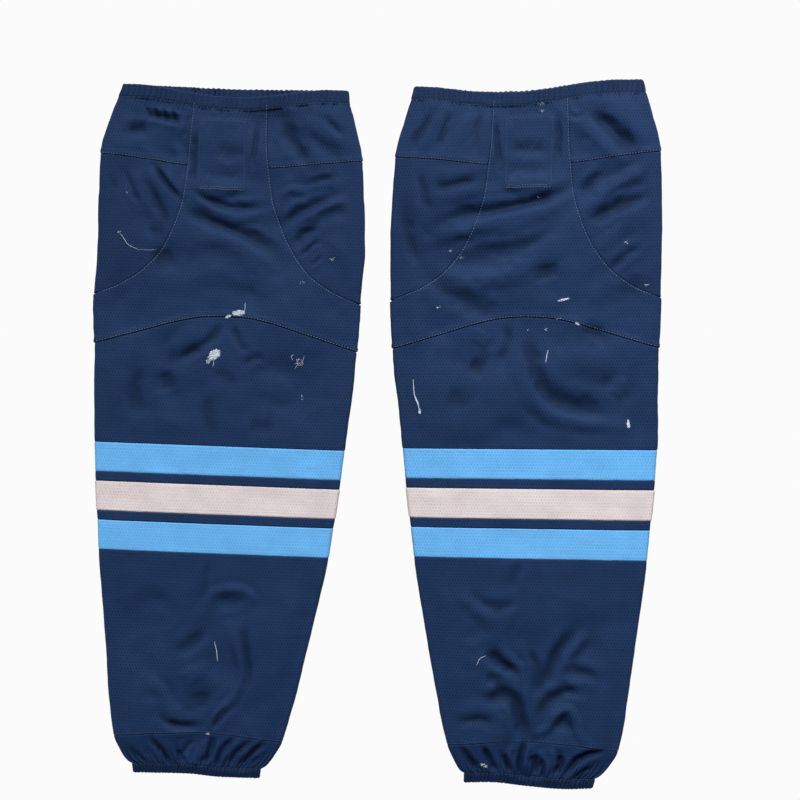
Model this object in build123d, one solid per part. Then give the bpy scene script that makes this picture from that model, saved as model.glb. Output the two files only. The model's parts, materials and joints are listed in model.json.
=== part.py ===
from build123d import *
import math
import os

# A pair of ice hockey socks laid flat: two footless knit sleeves that are worn over the shin pads.
# Each sock is a flattened tube of sewn knit panels, open at the thigh and at the ankle, with an elastic
# in a turned hem at each end. Frame: X across the pair, +Y towards the thigh openings, +Z up from the
# surface that the socks lie on, with the origin under the middle of the pair. Millimetres.

# Driving dimensions
FABRIC = 1.3            # knit panel thickness
LAID_HEIGHT = 12.0      # a laid sock, both layers with the air between
HEM_HEIGHT = 13.5       # a laid sock at its elastic hems
FOLD_RADIUS = 5.0       # outside radius of the fold down each side
INNER_RADIUS = 0.8      # least radius of the fold's inside
ELASTIC = 1.2           # elastic thickness
ELASTIC_ROOM = 1.4      # the hem's pocket, with the elastic's clearance
POCKET_WALL = 2.7       # inset of the pocket's inner side: one fabric layer and the room
HEM_WALL = 4.0          # the whole hem: fabric, pocket, fabric
HEM_END = 1.3           # the pocket's closed ends, above and below the elastic
ELASTIC_GAP = 0.2       # between the elastic's edges and the pocket's ends
LAP = 0.5               # how far a panel runs into its own turned hem
PIECE_GAP = 0.4         # open joint between the two halves that fold on each other
CLEAR = 1.0             # how far the cutting blocks stand above and below the sock

# Distances down the sock from its thigh opening
WAIST_HEM = 16.0
SIDE_SEAM_EDGE = 78.0   # the seam across the top of the gussets, at the side fold
KNEE_EDGE = 288.0       # the arched knee seam, at the side fold
STRIPES_TOP = 397.5
STRIPE = 32.5
SPACER = 10.5
CUFF_EDGE = 721.0       # the cuff seam, at the side fold
CUFF_ABOVE = 14.0       # how far above it the cuff's own outline begins
ANKLE_HEM = 750.0
LENGTH = 762.0          # a 30 inch sock
SHAVING = 0.01          # cut off the ankle's end, so that its edge is clean
MOUTH_DIP = 9.0         # how far the thigh opening's edge dips in the middle

# Hook-and-loop patches, sewn inside the thigh opening at the front and the back
PATCH_HALF_WIDTH = 27.0
PATCH_TOP = 36.0
PATCH_BOTTOM = 117.0
PATCH_THICK = 2.0
STITCH_INSET = 2.5

# Stitches that show on the front
STITCH_LENGTH = 2.2
STITCH_PITCH = 3.2
STITCH_WIDTH = 0.6
STITCH_HEIGHT = 0.3
SEAM_TO_STITCHES = 1.5  # from a side or centre seam to its topstitching
KNEE_TO_STITCHES = 2.0
SIDE_TO_STITCHES = 7.0  # the topstitching stops this far from the side folds
SEAM_END_GAP = 3.0      # and from the seam that it runs into

# The laid outline: distance down the sock, half-width, and how far the left and the right sock's
# middle lies to the right of its line there.
OUTLINE = [
    (0, 124.5, 4.0, 0.6),
    (WAIST_HEM, 128.5, 2.4, 0.8),
    (SIDE_SEAM_EDGE, 144.0, -0.6, 0.0),
    (170, 147.3, -0.6, -2.0),
    (240, 146.4, -5.6, -2.6),
    (KNEE_EDGE, 144.5, -7.0, -2.6),
    (STRIPES_TOP, 138.0, -13.5, 2.0),
    (516, 126.5, -20.0, 2.6),
    (620, 111.0, -28.0, 3.5),
    (CUFF_EDGE, 93.5, -37.0, 5.0),
]
CUFF_OUTLINE = [
    (CUFF_EDGE, 92.5, -37.0, 5.0),
    (737, 84.5, -38.0, 4.0),
    (ANKLE_HEM, 75.0, -38.5, 2.0),
    (LENGTH, 70.0, -38.5, 0.0),
]

# Half of each seam: distance from the middle and distance down. All run on past the side fold, and the
# centre panel's seam starts above the thigh opening.
BEYOND = 170.0
ABOVE = -20.0
SIDE_SEAM = [(45, 89), (92, 84), (143, SIDE_SEAM_EDGE), (BEYOND, 75)]
CENTRE_SEAM = [(40, ABOVE), (41, 28), (42.5, 60), SIDE_SEAM[0], (49, 122), (58, 152), (70, 178), (91, 205),
               (116, 222), (148, 234), (163, 238)]
MEETING = 3             # which place of the centre panel's seam the side seam runs into
STITCHED = slice(1, -2)  # the places of that seam that its topstitching follows
KNEE_SEAM = [(0, 254.5), (50, 261), (93, 273.5), (143, KNEE_EDGE), (BEYOND, 296)]
CUFF_SEAM = [(0, 715), (45, 716.5), (93, CUFF_EDGE), (BEYOND, 733)]
MOUTH_SHAPE = [(0, 1.0), (70, 0.7), (130, 0.1), (BEYOND, -0.3)]  # shares of the opening's dip

# How each sock lies: its middle, its thigh opening, how much of its cut size shows once it has
# settled, how far its crosswise lines drop to the right at its top and at its bottom, and how far
# its centre panels and its loop patches lie to the right of its middle.
LAYS = {
    "left": dict(middle=-157.5, top=384.0, wide=0.985, long=0.979, tilts=(0.03, 0.043), column=2,
                 panel_shift=-3.5, patch_shift=-10.0),
    "right": dict(middle=163.5, top=389.0, wide=1.0, long=1.0, tilts=(-0.03, 0.042), column=3,
                  panel_shift=1.5, patch_shift=0.5),
}


def down_the_middle(rows, column, v):
    """A column of an outline at distance v down the sock, by straight lines between its rows."""
    if v <= rows[0][0]:
        return rows[0][column]
    for above, below in zip(rows, rows[1:]):
        if v <= below[0]:
            share = (v - above[0]) / (below[0] - above[0])
            return above[column] + share * (below[column] - above[column])
    return rows[-1][column]


class Sock:
    """One laid sock: turns places on the flat cut (u across, v down) into places in the frame."""

    def __init__(self, side):
        self.lay = LAYS[side]
        outward = -1 if side == "left" else 1
        self.hands = {"outer": outward, "inner": -outward}
        self.patch_left = self.lay["patch_shift"] - PATCH_HALF_WIDTH
        self.patch_right = self.lay["patch_shift"] + PATCH_HALF_WIDTH

    def place(self, u, v):
        lay = self.lay
        share = v / LENGTH
        tilt = lay["tilts"][0] + share * (lay["tilts"][1] - lay["tilts"][0])
        whole = OUTLINE + CUFF_OUTLINE[1:]
        shift = down_the_middle(whole, lay["column"], v)
        return Vector(lay["middle"] + shift + u * lay["wide"], lay["top"] - v * lay["long"] - tilt * u)

    def curve(self, points):
        """A smooth seam through points of the cut."""
        return Spline([self.place(u, v) for u, v in points])

    def handed(self, sign, points, inset=0.0):
        """The places of half a seam, on one side of the centre panels."""
        return [(sign * (u - inset) + self.lay["panel_shift"], v) for u, v in points]

    def crosswise(self, points):
        """A seam from side to side through half its points, from the middle outwards."""
        left = [(-u, v) for u, v in reversed(points) if u > 0]
        return self.curve(left + points)

    def between(self, upper, lower):
        """The region between two crosswise seams, as a tall block."""
        sides = [Line(upper @ 0, lower @ 0), Line(upper @ 1, lower @ 1)]
        return self.block(make_face([upper, lower, *sides]))

    def block(self, face):
        return extrude(Pos(0, 0, -CLEAR) * face, HEM_HEIGHT + 2 * CLEAR, dir=(0, 0, 1))

    def core(self, rows, height, inset):
        """The inside of a laid tube that lies inset from its outer surface, with rounded sides."""
        edges = []
        for side in (-1, 1):
            points = [(side * (width - inset), v) for v, width, *_ in rows]
            edges.append(self.curve(points))
        ends = [Line(edges[0] @ 0, edges[1] @ 0), Line(edges[0] @ 1, edges[1] @ 1)]
        solid = extrude(Pos(0, 0, inset) * make_face([*edges, *ends]), height - 2 * inset, dir=(0, 0, 1))
        radius = max(FOLD_RADIUS - inset, INNER_RADIUS)
        long_edges = [e for e in solid.edges() if e.geom_type == GeomType.BSPLINE]
        return fillet(long_edges, radius)

    def tube(self, rows, height, outer, inner):
        """A flattened tube between two insets."""
        return self.core(rows, height, outer) - self.core(rows, height, inner)


def dipped_at(v):
    """Half of a line at distance v that runs beside the thigh opening's edge."""
    return [(u, v + MOUTH_DIP * share) for u, share in MOUTH_SHAPE]


def straight_at(v):
    return [(0, v), (BEYOND, v)]


def shifted(points, distance):
    """The same seam, further down the sock."""
    return [(u, v + distance) for u, v in points]


def one(shape, what):
    """The shape's only solid."""
    solids = shape.solids()
    if len(solids) != 1:
        raise ValueError(f"{what} is {len(solids)} solids")
    return solids[0]


def hem(sock, rows, top, bottom):
    """An elastic's turned hem between two crosswise curves, and the elastic in its pocket."""
    def zone(inset):
        return sock.between(sock.crosswise(shifted(top, inset)), sock.crosswise(shifted(bottom, -inset)))

    shell = sock.tube(rows, HEM_HEIGHT, 0, HEM_WALL) & zone(0)
    pocket = sock.tube(rows, HEM_HEIGHT, FABRIC, POCKET_WALL) & zone(HEM_END)
    slack = (ELASTIC_ROOM - ELASTIC) / 2
    elastic_zone = zone(HEM_END + ELASTIC_GAP)
    elastic = sock.tube(rows, HEM_HEIGHT, FABRIC + slack, POCKET_WALL - slack) & elastic_zone
    return shell - pocket, one(elastic, "elastic")


def stitches(curve, start_gap=0.0, end_gap=0.0):
    """Short flat stitches along a curve on the front."""
    count = int((curve.length - start_gap - end_gap) / STITCH_PITCH)
    made = []
    for i in range(count):
        at = (start_gap + (i + 0.5) * STITCH_PITCH) / curve.length
        point, along = curve @ at, curve % at
        angle = math.degrees(math.atan2(along.Y, along.X))
        lift = Pos(point.X, point.Y, LAID_HEIGHT + STITCH_HEIGHT / 2)
        made.append(lift * Rot(0, 0, angle) * Box(STITCH_LENGTH, STITCH_WIDTH, STITCH_HEIGHT))
    return made


def patch(sock, low):
    """A hook-and-loop patch against the front or the back panel's inside."""
    corners = [(sock.patch_left, PATCH_TOP), (sock.patch_right, PATCH_TOP),
               (sock.patch_right, PATCH_BOTTOM), (sock.patch_left, PATCH_BOTTOM)]
    face = make_face(Polyline([sock.place(u, v) for u, v in corners], close=True))
    return extrude(Pos(0, 0, low) * face, PATCH_THICK, dir=(0, 0, 1))


def patch_stitching(sock):
    """The box and cross of stitches that hold the front patch."""
    left, right = sock.patch_left + STITCH_INSET, sock.patch_right - STITCH_INSET
    top, bottom = PATCH_TOP + STITCH_INSET, PATCH_BOTTOM - STITCH_INSET
    a, b, c, d = (sock.place(u, v) for u, v in ((left, top), (right, top), (right, bottom), (left, bottom)))
    sides = [Line(a, b), Line(b, c), Line(c, d), Line(d, a)]
    made = [stitch for side in sides for stitch in stitches(side, STITCH_LENGTH, STITCH_LENGTH)]
    made += stitches(Line(a, c), 2 * SEAM_END_GAP, 2 * SEAM_END_GAP)
    centre = (a + c) * 0.5
    for end in (b, d):
        made += stitches(Line(centre, end), 2 * SEAM_END_GAP, 2 * SEAM_END_GAP)
    return Compound(children=made)


def seam_stitching(sock):
    """The topstitching along the seams of the front."""
    made = []
    for hand in (-1, 1):
        made += stitches(sock.curve(sock.handed(hand, CENTRE_SEAM[STITCHED], SEAM_TO_STITCHES)))
        across = sock.handed(hand, shifted(SIDE_SEAM[:-1], -SEAM_TO_STITCHES))
        made += stitches(sock.curve(across), SEAM_END_GAP, SIDE_TO_STITCHES)
    knee = sock.crosswise(shifted(KNEE_SEAM[:-1], -KNEE_TO_STITCHES))
    made += stitches(knee, SIDE_TO_STITCHES, SIDE_TO_STITCHES)
    return Compound(children=made)


def upper_half(sock):
    """The nodes from the thigh opening to the top of the stripes."""
    hem_line = dipped_at(WAIST_HEM)
    wall = sock.tube(OUTLINE, LAID_HEIGHT, 0, FABRIC)
    casing, elastic = hem(sock, OUTLINE, dipped_at(0), hem_line)
    lapped = sock.crosswise(shifted(hem_line, -LAP))
    thigh = (wall & sock.between(lapped, sock.crosswise(KNEE_SEAM))) + casing

    side_cuts = {}
    for hand, sign in sock.hands.items():
        seam = sock.handed(sign, CENTRE_SEAM)
        across = sock.curve(sock.handed(sign, SIDE_SEAM))
        upper_seam = sock.curve(seam[:MEETING + 1])
        lower_seam = sock.curve(seam[MEETING:])
        corner = sock.place(sign * BEYOND, ABOVE)
        upper_face = make_face([upper_seam, across, Line(across @ 1, corner), Line(corner, upper_seam @ 0)])
        lower_face = make_face([across, lower_seam, Line(lower_seam @ 1, across @ 1)])
        side_cuts[hand] = (sock.block(upper_face), sock.block(lower_face))

    nodes = {}
    centre = thigh
    for hand, (upper_block, gusset_block) in side_cuts.items():
        nodes[f"{hand}_side_panel"] = one(thigh & upper_block, f"{hand} side panel")
        nodes[f"{hand}_gusset"] = one(thigh & gusset_block, f"{hand} gusset")
        centre = centre - upper_block - gusset_block
    middle = Plane.XY.offset(LAID_HEIGHT / 2)
    nodes["front_centre_panel"] = one(centre.split(middle, keep=Keep.TOP), "front centre panel")
    nodes["back_centre_panel"] = one(centre.split(middle, keep=Keep.BOTTOM), "back centre panel")
    nodes["waist_elastic"] = elastic
    nodes["front_loop_patch"] = patch(sock, LAID_HEIGHT - FABRIC - PATCH_THICK)
    nodes["back_loop_patch"] = patch(sock, FABRIC)
    nodes["patch_stitching"] = patch_stitching(sock)
    nodes["seam_stitching"] = seam_stitching(sock)
    above_stripes = sock.crosswise(straight_at(STRIPES_TOP - PIECE_GAP / 2))
    nodes["knee_panel"] = one(wall & sock.between(sock.crosswise(KNEE_SEAM), above_stripes), "knee panel")
    return nodes


def lower_half(sock):
    """The nodes from the stripes to the ankle opening."""
    wall = sock.tube(OUTLINE, LAID_HEIGHT, 0, FABRIC)
    nodes = {}
    edge = STRIPES_TOP + PIECE_GAP / 2
    seam = STRIPES_TOP
    for name, width in (("upper_blue_stripe", STRIPE), ("upper_spacer", SPACER), ("cream_stripe", STRIPE),
                        ("lower_spacer", SPACER), ("lower_blue_stripe", STRIPE)):
        seam += width
        zone = sock.between(sock.crosswise(straight_at(edge)), sock.crosswise(straight_at(seam)))
        nodes[name] = one(wall & zone, name)
        edge = seam
    calf_zone = sock.between(sock.crosswise(straight_at(edge)), sock.crosswise(CUFF_SEAM))
    nodes["calf_panel"] = one(wall & calf_zone, "calf panel")

    hem_top = straight_at(ANKLE_HEM)
    rows = [(CUFF_EDGE - CUFF_ABOVE, *CUFF_OUTLINE[0][1:]), *CUFF_OUTLINE]
    casing, elastic = hem(sock, rows, hem_top, straight_at(LENGTH - SHAVING))
    lapped = sock.crosswise(shifted(hem_top, LAP))
    sleeve = sock.tube(rows, LAID_HEIGHT, 0, FABRIC) & sock.between(sock.crosswise(CUFF_SEAM), lapped)
    nodes["ankle_cuff"] = one(sleeve + casing, "ankle cuff")
    nodes["ankle_elastic"] = elastic
    return nodes


def main():
    os.makedirs("parts", exist_ok=True)
    made = {}
    for side in LAYS:
        sock = Sock(side)
        for name, shape in {**upper_half(sock), **lower_half(sock)}.items():
            made[f"{side}_{name}"] = shape
    boxes = [shape.bounding_box() for shape in made.values()]
    middle_x = (min(box.min.X for box in boxes) + max(box.max.X for box in boxes)) / 2
    middle_y = (min(box.min.Y for box in boxes) + max(box.max.Y for box in boxes)) / 2
    for name, shape in made.items():
        export_step(Pos(-middle_x, -middle_y, 0) * shape, f"parts/{name}.step")


main()
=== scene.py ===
"""Two ice hockey socks laid flat: knit panels, gathered elastic hems, sewn stripes, stitches and snags.

Each sock is described on its flat cut, in millimetres: q runs round the tube from the middle of its front,
v runs down from the thigh opening. One function turns a place on the cut into a place on the laid, wrinkled
sock, and every panel, stitch and thread is built on that function.
"""
import bpy
import json
import math
import numpy as np
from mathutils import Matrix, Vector


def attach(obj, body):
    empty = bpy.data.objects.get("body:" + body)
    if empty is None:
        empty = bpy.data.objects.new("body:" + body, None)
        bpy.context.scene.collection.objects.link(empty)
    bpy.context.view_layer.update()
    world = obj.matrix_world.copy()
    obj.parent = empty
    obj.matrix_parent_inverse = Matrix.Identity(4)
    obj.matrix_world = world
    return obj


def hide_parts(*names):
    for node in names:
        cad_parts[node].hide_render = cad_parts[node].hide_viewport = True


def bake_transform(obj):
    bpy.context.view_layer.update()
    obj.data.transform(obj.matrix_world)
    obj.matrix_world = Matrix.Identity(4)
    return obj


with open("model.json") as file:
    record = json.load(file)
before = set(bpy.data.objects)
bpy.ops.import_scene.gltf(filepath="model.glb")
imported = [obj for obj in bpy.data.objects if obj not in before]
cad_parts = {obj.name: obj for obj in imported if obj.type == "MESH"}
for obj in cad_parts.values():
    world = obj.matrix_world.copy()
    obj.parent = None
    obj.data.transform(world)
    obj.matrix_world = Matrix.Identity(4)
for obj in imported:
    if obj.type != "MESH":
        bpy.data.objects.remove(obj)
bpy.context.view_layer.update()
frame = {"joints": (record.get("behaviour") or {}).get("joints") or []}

MM = 0.001

# The cut: places down from the thigh opening's edge, and widths
WAIST_HEM = 16.0
SIDE_SEAM_EDGE = 78.0
SIDE_SEAM_INNER = 89.0
STRIPES_TOP = 397.5
STRIPE = 32.5
SPACER = 10.5
CUFF_EDGE = 721.0
CUFF_TOP = 715.0
ANKLE_HEM = 752.0
LENGTH = 762.0
FLARE_START = 234.0     # the panels are slightly wider between these two places
FLARE_END = 286.0
FLARE = 0.9
CREAM_SPREAD = 0.7      # how much wider the cream stripe lies than its neighbours
PATCH_HALF_WIDTH = 27.0
PATCH_TOP = 36.0
PATCH_BOTTOM = 117.0
PATCH_SLOPE = 8.0       # over which the cloth rises onto a patch
PATCH_RISE = 1.5
PATCH_MARGIN = 3.0      # how far outside the patch that slope starts

# Cloth
FABRIC = 0.9            # thickness of the knit
HEM_TURN = 1.6          # radius of the turned edge of an elastic's hem
SIDE_FOLD = 3.6         # radius of the sock's fold at its sides
REST_HEIGHT = 1.8       # how far the front lies above its side folds where it is smooth
CREST = 5.0             # how far it may rise above them
TROUGH = 4.8            # how far it may sink below them
LEAST_RADIUS = 0.9      # of a side fold where gathers draw it in
GRID = 2.0              # spacing of the cloth's mesh
FINE_GRID = 0.8         # the same across a panel that an elastic gathers
SEAM_OFFSETS = (0.0, 0.35, 0.8, 1.5, 2.6, 4.2)
SEAM_DEPTH = 0.50
SEAM_WIDTH = 0.55
PULL_HEIGHT = 0.28      # of the small pulls beside a seam
ALLOWANCE = 0.5         # how far the folded seam allowance lifts the cloth above it
AT_KNEE = (1, 1, 0, 1.7)    # seam depths at a panel's left, right, top and bottom edge
AT_SIDE = (1, 1, 0, 0.6)
OVER_SEAM = (0, 0, 0, 1)    # its bottom edge lies over the folded allowance
TUCK = 1.6              # how far a gusset's edge runs on under the centre panel
TUCK_DEPTH = 1.15       # how deep it lies there
INSIDE_SHIFT = 500.0    # how far apart the two faces of a cloth lie in its texture

# Soft hills in the front: height, size across, size down and seed
HILLS = ((3.0, 70, 85, 1), (2.3, 31, 38, 2), (0.65, 13, 15, 6))
CREASES = 1.1
FOLD_GAIN = (0.78, 0.07)  # on the heights of the wrinkles below: at no width, and more for each millimetre
SHOULDER = 0.28         # a wrinkle's two shoulders, as a share of its height the other way
BACK_LIFT = 0.25        # of the back above the ground where nothing presses it down
SURVEY_REACH = 152.0    # how far across and above the sock its heights are worked out
SURVEY_ABOVE = 6.0

# Gathers of the elastics: depths, and spacings in millimetres or in pleats for each half-width
GATHERS_END = 78.0      # how far from its ends the elastics gather the cloth
BAND_LINE = 14.6        # from the thigh opening's edge to the line that holds its elastic
BAND_LINE_DEPTH = 0.5
RIB_PITCH = 5.7
RIB_DEPTH = 1.9
RIB_LEAN = 0.12
PUCKER_PITCH = 4.1
PUCKER_DEPTH = 1.9
FINE_PLEATS = 1.1
WIDE_PLEATS = 1.5
PLEATS_LEVEL = 0.7      # what is taken off the sum of the puckers and both kinds of pleats
CUFF_PLEATS = 13
ANKLE_RIBS = 18
CUFF_DEPTH = 2.2
CUFF_LINE_DEPTH = 0.7   # of the line between the cuff and its turned hem
FRONT, BACK = 20, 40    # seeds of the front's and of the back's gathers

# Painted shade in the knit's colour, on the scale of painted_shading
FOLD_SHADE = 0.80       # at the side folds
SEAM_SHADE = 0.20
HEM_SHADE = 0.34
ANKLE_HEM_SHADE = 0.62
GATHER_SHADE = 0.17     # for each millimetre that an elastic gathers the front, up to the most below
GATHERED_MOST = 2.4
# strength of the painted shade in the knit's colour
PAINTED_SHADE_STRENGTH = 0.48        # how much of its brightness the knit loses at 1

# The stage
FIELD = 0.864           # width and height of the picture on the ground, in metres
VIEW_CENTRE = (0.02325, 0.0373)
LENS = 60.0
SENSOR = 36.0
CLOTH_MIDDLE = 0.010    # height of the plane that the picture's size is measured in
FLOOR_DROP = 0.0006
FLOOR_GLOW = 0.965
WORLD_LIGHT = 0.16
LIGHTS = [
    ("key", (0.60, -0.92, -0.80), 26, 2.46),
    ("second_key", (-0.50, -0.98, -0.80), 26, 1.74),
]
WINDOW = dict(location=(0.50, 0.72, 0.55), towards=(0.15, 0.10, 0.0), size=0.45, power=3.7)

# Distance down the sock, half-width, and how far the left and the right sock's middle lies to the right
OUTLINE = np.array([
    (0, 124.5, 4.0, 0.6),
    (WAIST_HEM, 128.5, 2.4, 0.8),
    (SIDE_SEAM_EDGE, 144.0, -0.6, 0.0),
    (170, 147.3, -0.6, -2.0),
    (240, 146.4, -5.6, -2.6),
    (288, 144.5, -7.0, -2.6),
    (STRIPES_TOP, 138.0, -13.5, 2.0),
    (516, 126.5, -20.0, 2.6),
    (620, 111.0, -28.0, 3.5),
    (CUFF_EDGE, 92.8, -37.0, 5.0),
    (737, 85.0, -38.0, 4.0),
    (747, 78.0, -38.5, 2.5),
    (753, 71.5, -38.5, 1.5),
    (LENGTH, 70.0, -38.5, 0.0),
])
# Distance down the sock, and from its middle
CENTRE_SEAM = np.array([(-60, 40), (0, 40.5), (60, 42.5), (SIDE_SEAM_INNER, 45), (122, 49), (152, 58),
                        (178, 70), (205, 91), (222, 116), (229, 132), (234, 146), (238, 160), (241, 171)],
                       float)
# Distance from its middle, and down the sock
KNEE_SEAM = np.array([(0, 254.5), (25, 256), (50, 261), (93, 273.5), (143, 288), (200, 300)], float)
CUFF_SEAM = np.array([(0, CUFF_TOP), (45, CUFF_TOP + 1.5), (93, CUFF_EDGE), (140, CUFF_EDGE)], float)
SIDE_SEAM = np.array([(0, 92), (44, SIDE_SEAM_INNER), (92, 83), (143, SIDE_SEAM_EDGE), (200, 75)], float)

# How each sock's front is wrinkled. A fold is its height, its width and the places (across, down) that it
# passes through. A negative height is a valley.
LEFT_FOLDS = [
    (-3.4, 3.8, [(-96, 33), (-75, 36), (-54, 40)]), (-2.0, 1.9, [(-95, 25), (-91, 38)]),
    (-2.2, 1.9, [(-86, 25), (-81, 40)]), (-2.2, 1.9, [(-77, 26), (-71, 42)]),
    (-2.0, 1.9, [(-67, 27), (-61, 43)]), (-2.2, 6, [(-115, 52), (-92, 50)]),
    (1.6, 9, [(-131, 72), (-122, 48), (-113, 28)]), (-2.6, 7, [(54, 36), (68, 56), (84, 84)]),
    (2.2, 8, [(72, 32), (100, 48), (128, 66)]), (-1.6, 4, [(104, 34), (122, 50)]),
    (-1.2, 7, [(-20, 74), (22, 74)]), (2.6, 7, [(-36, 112), (-10, 113), (16, 111)]),
    (-2.6, 2.8, [(-39, 44), (-41, 80), (-43, 116)]), (-2.6, 2.8, [(28, 42), (26, 66), (23, 90)]),
    (-1.6, 2.6, [(-47, 30), (-52, 60)]), (2.0, 5, [(-64, 60), (-58, 80), (-62, 104)]),
    (-3.0, 4, [(-44, 114), (-24, 127), (8, 134), (38, 131)]), (1.6, 5, [(-30, 141), (0, 146), (36, 143)]),
    (-3.1, 7, [(-52, 134), (-15, 152), (22, 167), (54, 188)]),
    (2.2, 10, [(-62, 163), (-12, 170), (28, 190), (48, 212)]),
    (-4.2, 3.2, [(-84, 90), (-70, 110), (-52, 130)]),
    (2.4, 4.5, [(-94, 88), (-86, 104), (-72, 124), (-66, 140)]),
    (-2.2, 6, [(-92, 112), (-82, 130), (-72, 150), (-86, 164)]),
    (-1.9, 3.5, [(-116, 96), (-108, 118), (-99, 136)]), (-1.4, 4, [(-136, 98), (-126, 120)]),
    (-1.8, 6, [(-92, 162), (-70, 166)]), (-3.6, 4.5, [(58, 152), (72, 138), (90, 128), (112, 118)]),
    (2.6, 6, [(66, 160), (88, 140), (108, 128), (136, 121)]),
    (-2.2, 3.5, [(82, 106), (96, 100), (114, 96)]), (1.8, 4, [(54, 122), (68, 112), (86, 112)]),
    (-2.6, 3.5, [(70, 174), (80, 160), (96, 154)]), (-1.8, 2.5, [(80, 184), (90, 172), (98, 168)]),
    (-1.6, 2.2, [(90, 196), (100, 184)]), (1.4, 3, [(76, 180), (88, 168)]),
    (1.4, 12, [(2, 202), (30, 216), (60, 232)]), (-1.4, 14, [(-86, 200), (-60, 188)]),
    (-2.8, 5, [(-3, 260), (-14, 278), (-32, 292), (-54, 306)]),
    (2.0, 7, [(-24, 266), (-46, 282), (-64, 300)]), (-2.2, 4.5, [(8, 262), (14, 280), (26, 296)]),
    (-2.0, 5, [(20, 308), (30, 300), (44, 296)]), (1.5, 10, [(-72, 296), (-80, 330), (-76, 362)]),
    (-1.8, 9, [(-90, 310), (-92, 340), (-86, 372)]), (-1.2, 12, [(-66, 316), (-58, 340)]),
    (-1.8, 8, [(-12, 316), (4, 322), (16, 330)]), (-1.4, 8, [(-14, 336), (-14, 360), (-6, 388)]),
    (1.4, 12, [(30, 330), (60, 330), (84, 340)]), (-1.3, 10, [(30, 372), (60, 376)]),
    (-1.4, 5, [(-4, 520), (-7, 545), (-8, 574)]), (-1.3, 7, [(10, 569), (24, 568), (38, 572)]),
    (1.8, 4.5, [(-2, 580), (4, 560), (26, 554), (46, 564), (46, 584)]),
    (-1.7, 7, [(-2, 598), (-14, 614), (-36, 628)]),
    (-2.4, 5, [(36, 584), (44, 614), (48, 650), (44, 670)]),
    (2.6, 4, [(22, 594), (34, 620), (42, 650), (36, 672), (22, 692), (10, 714)]),
    (-3.2, 3.5, [(34, 682), (24, 694), (14, 712)]),
    (-3.4, 4, [(-44, 692), (-34, 704), (-16, 708), (4, 706)]),
    (2.2, 5, [(-62, 654), (-44, 670), (-30, 690), (-16, 698)]), (1.6, 6, [(-62, 690), (-46, 684)]),
    (-1.6, 9, [(0, 668), (2, 690)]), (1.4, 12, [(-20, 640), (-6, 660)]),
    (-3.2, 2.9, [(-78, 730), (-60, 745), (-51, 752)]), (-3.4, 2.9, [(-53, 720), (-38, 736), (-28, 751)]),
    (-3.0, 2.5, [(-22, 732), (-16, 743), (-13, 751)]), (-1.8, 2.9, [(-5, 722), (-12, 732), (-17, 740)]),
    (-3.7, 3.1, [(18, 716), (15, 730), (12, 741), (3, 750)]),
    (-3.0, 3.1, [(40, 718), (29, 731), (23, 744), (22, 752)]),
    (-2.3, 3.3, [(61, 719), (51, 727), (40, 740), (35, 752)]),
    (-3.4, 3.3, [(76, 720), (61, 734), (49, 749)]), (-2.6, 2.6, [(71, 736), (60, 747)]),
    (1.4, 3.9, [(-40, 722), (-28, 734), (-20, 748)]), (1.5, 3.9, [(8, 720), (4, 734), (0, 744)]),
    (1.2, 3.9, [(50, 718), (40, 730), (31, 744)]),
]
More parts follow.
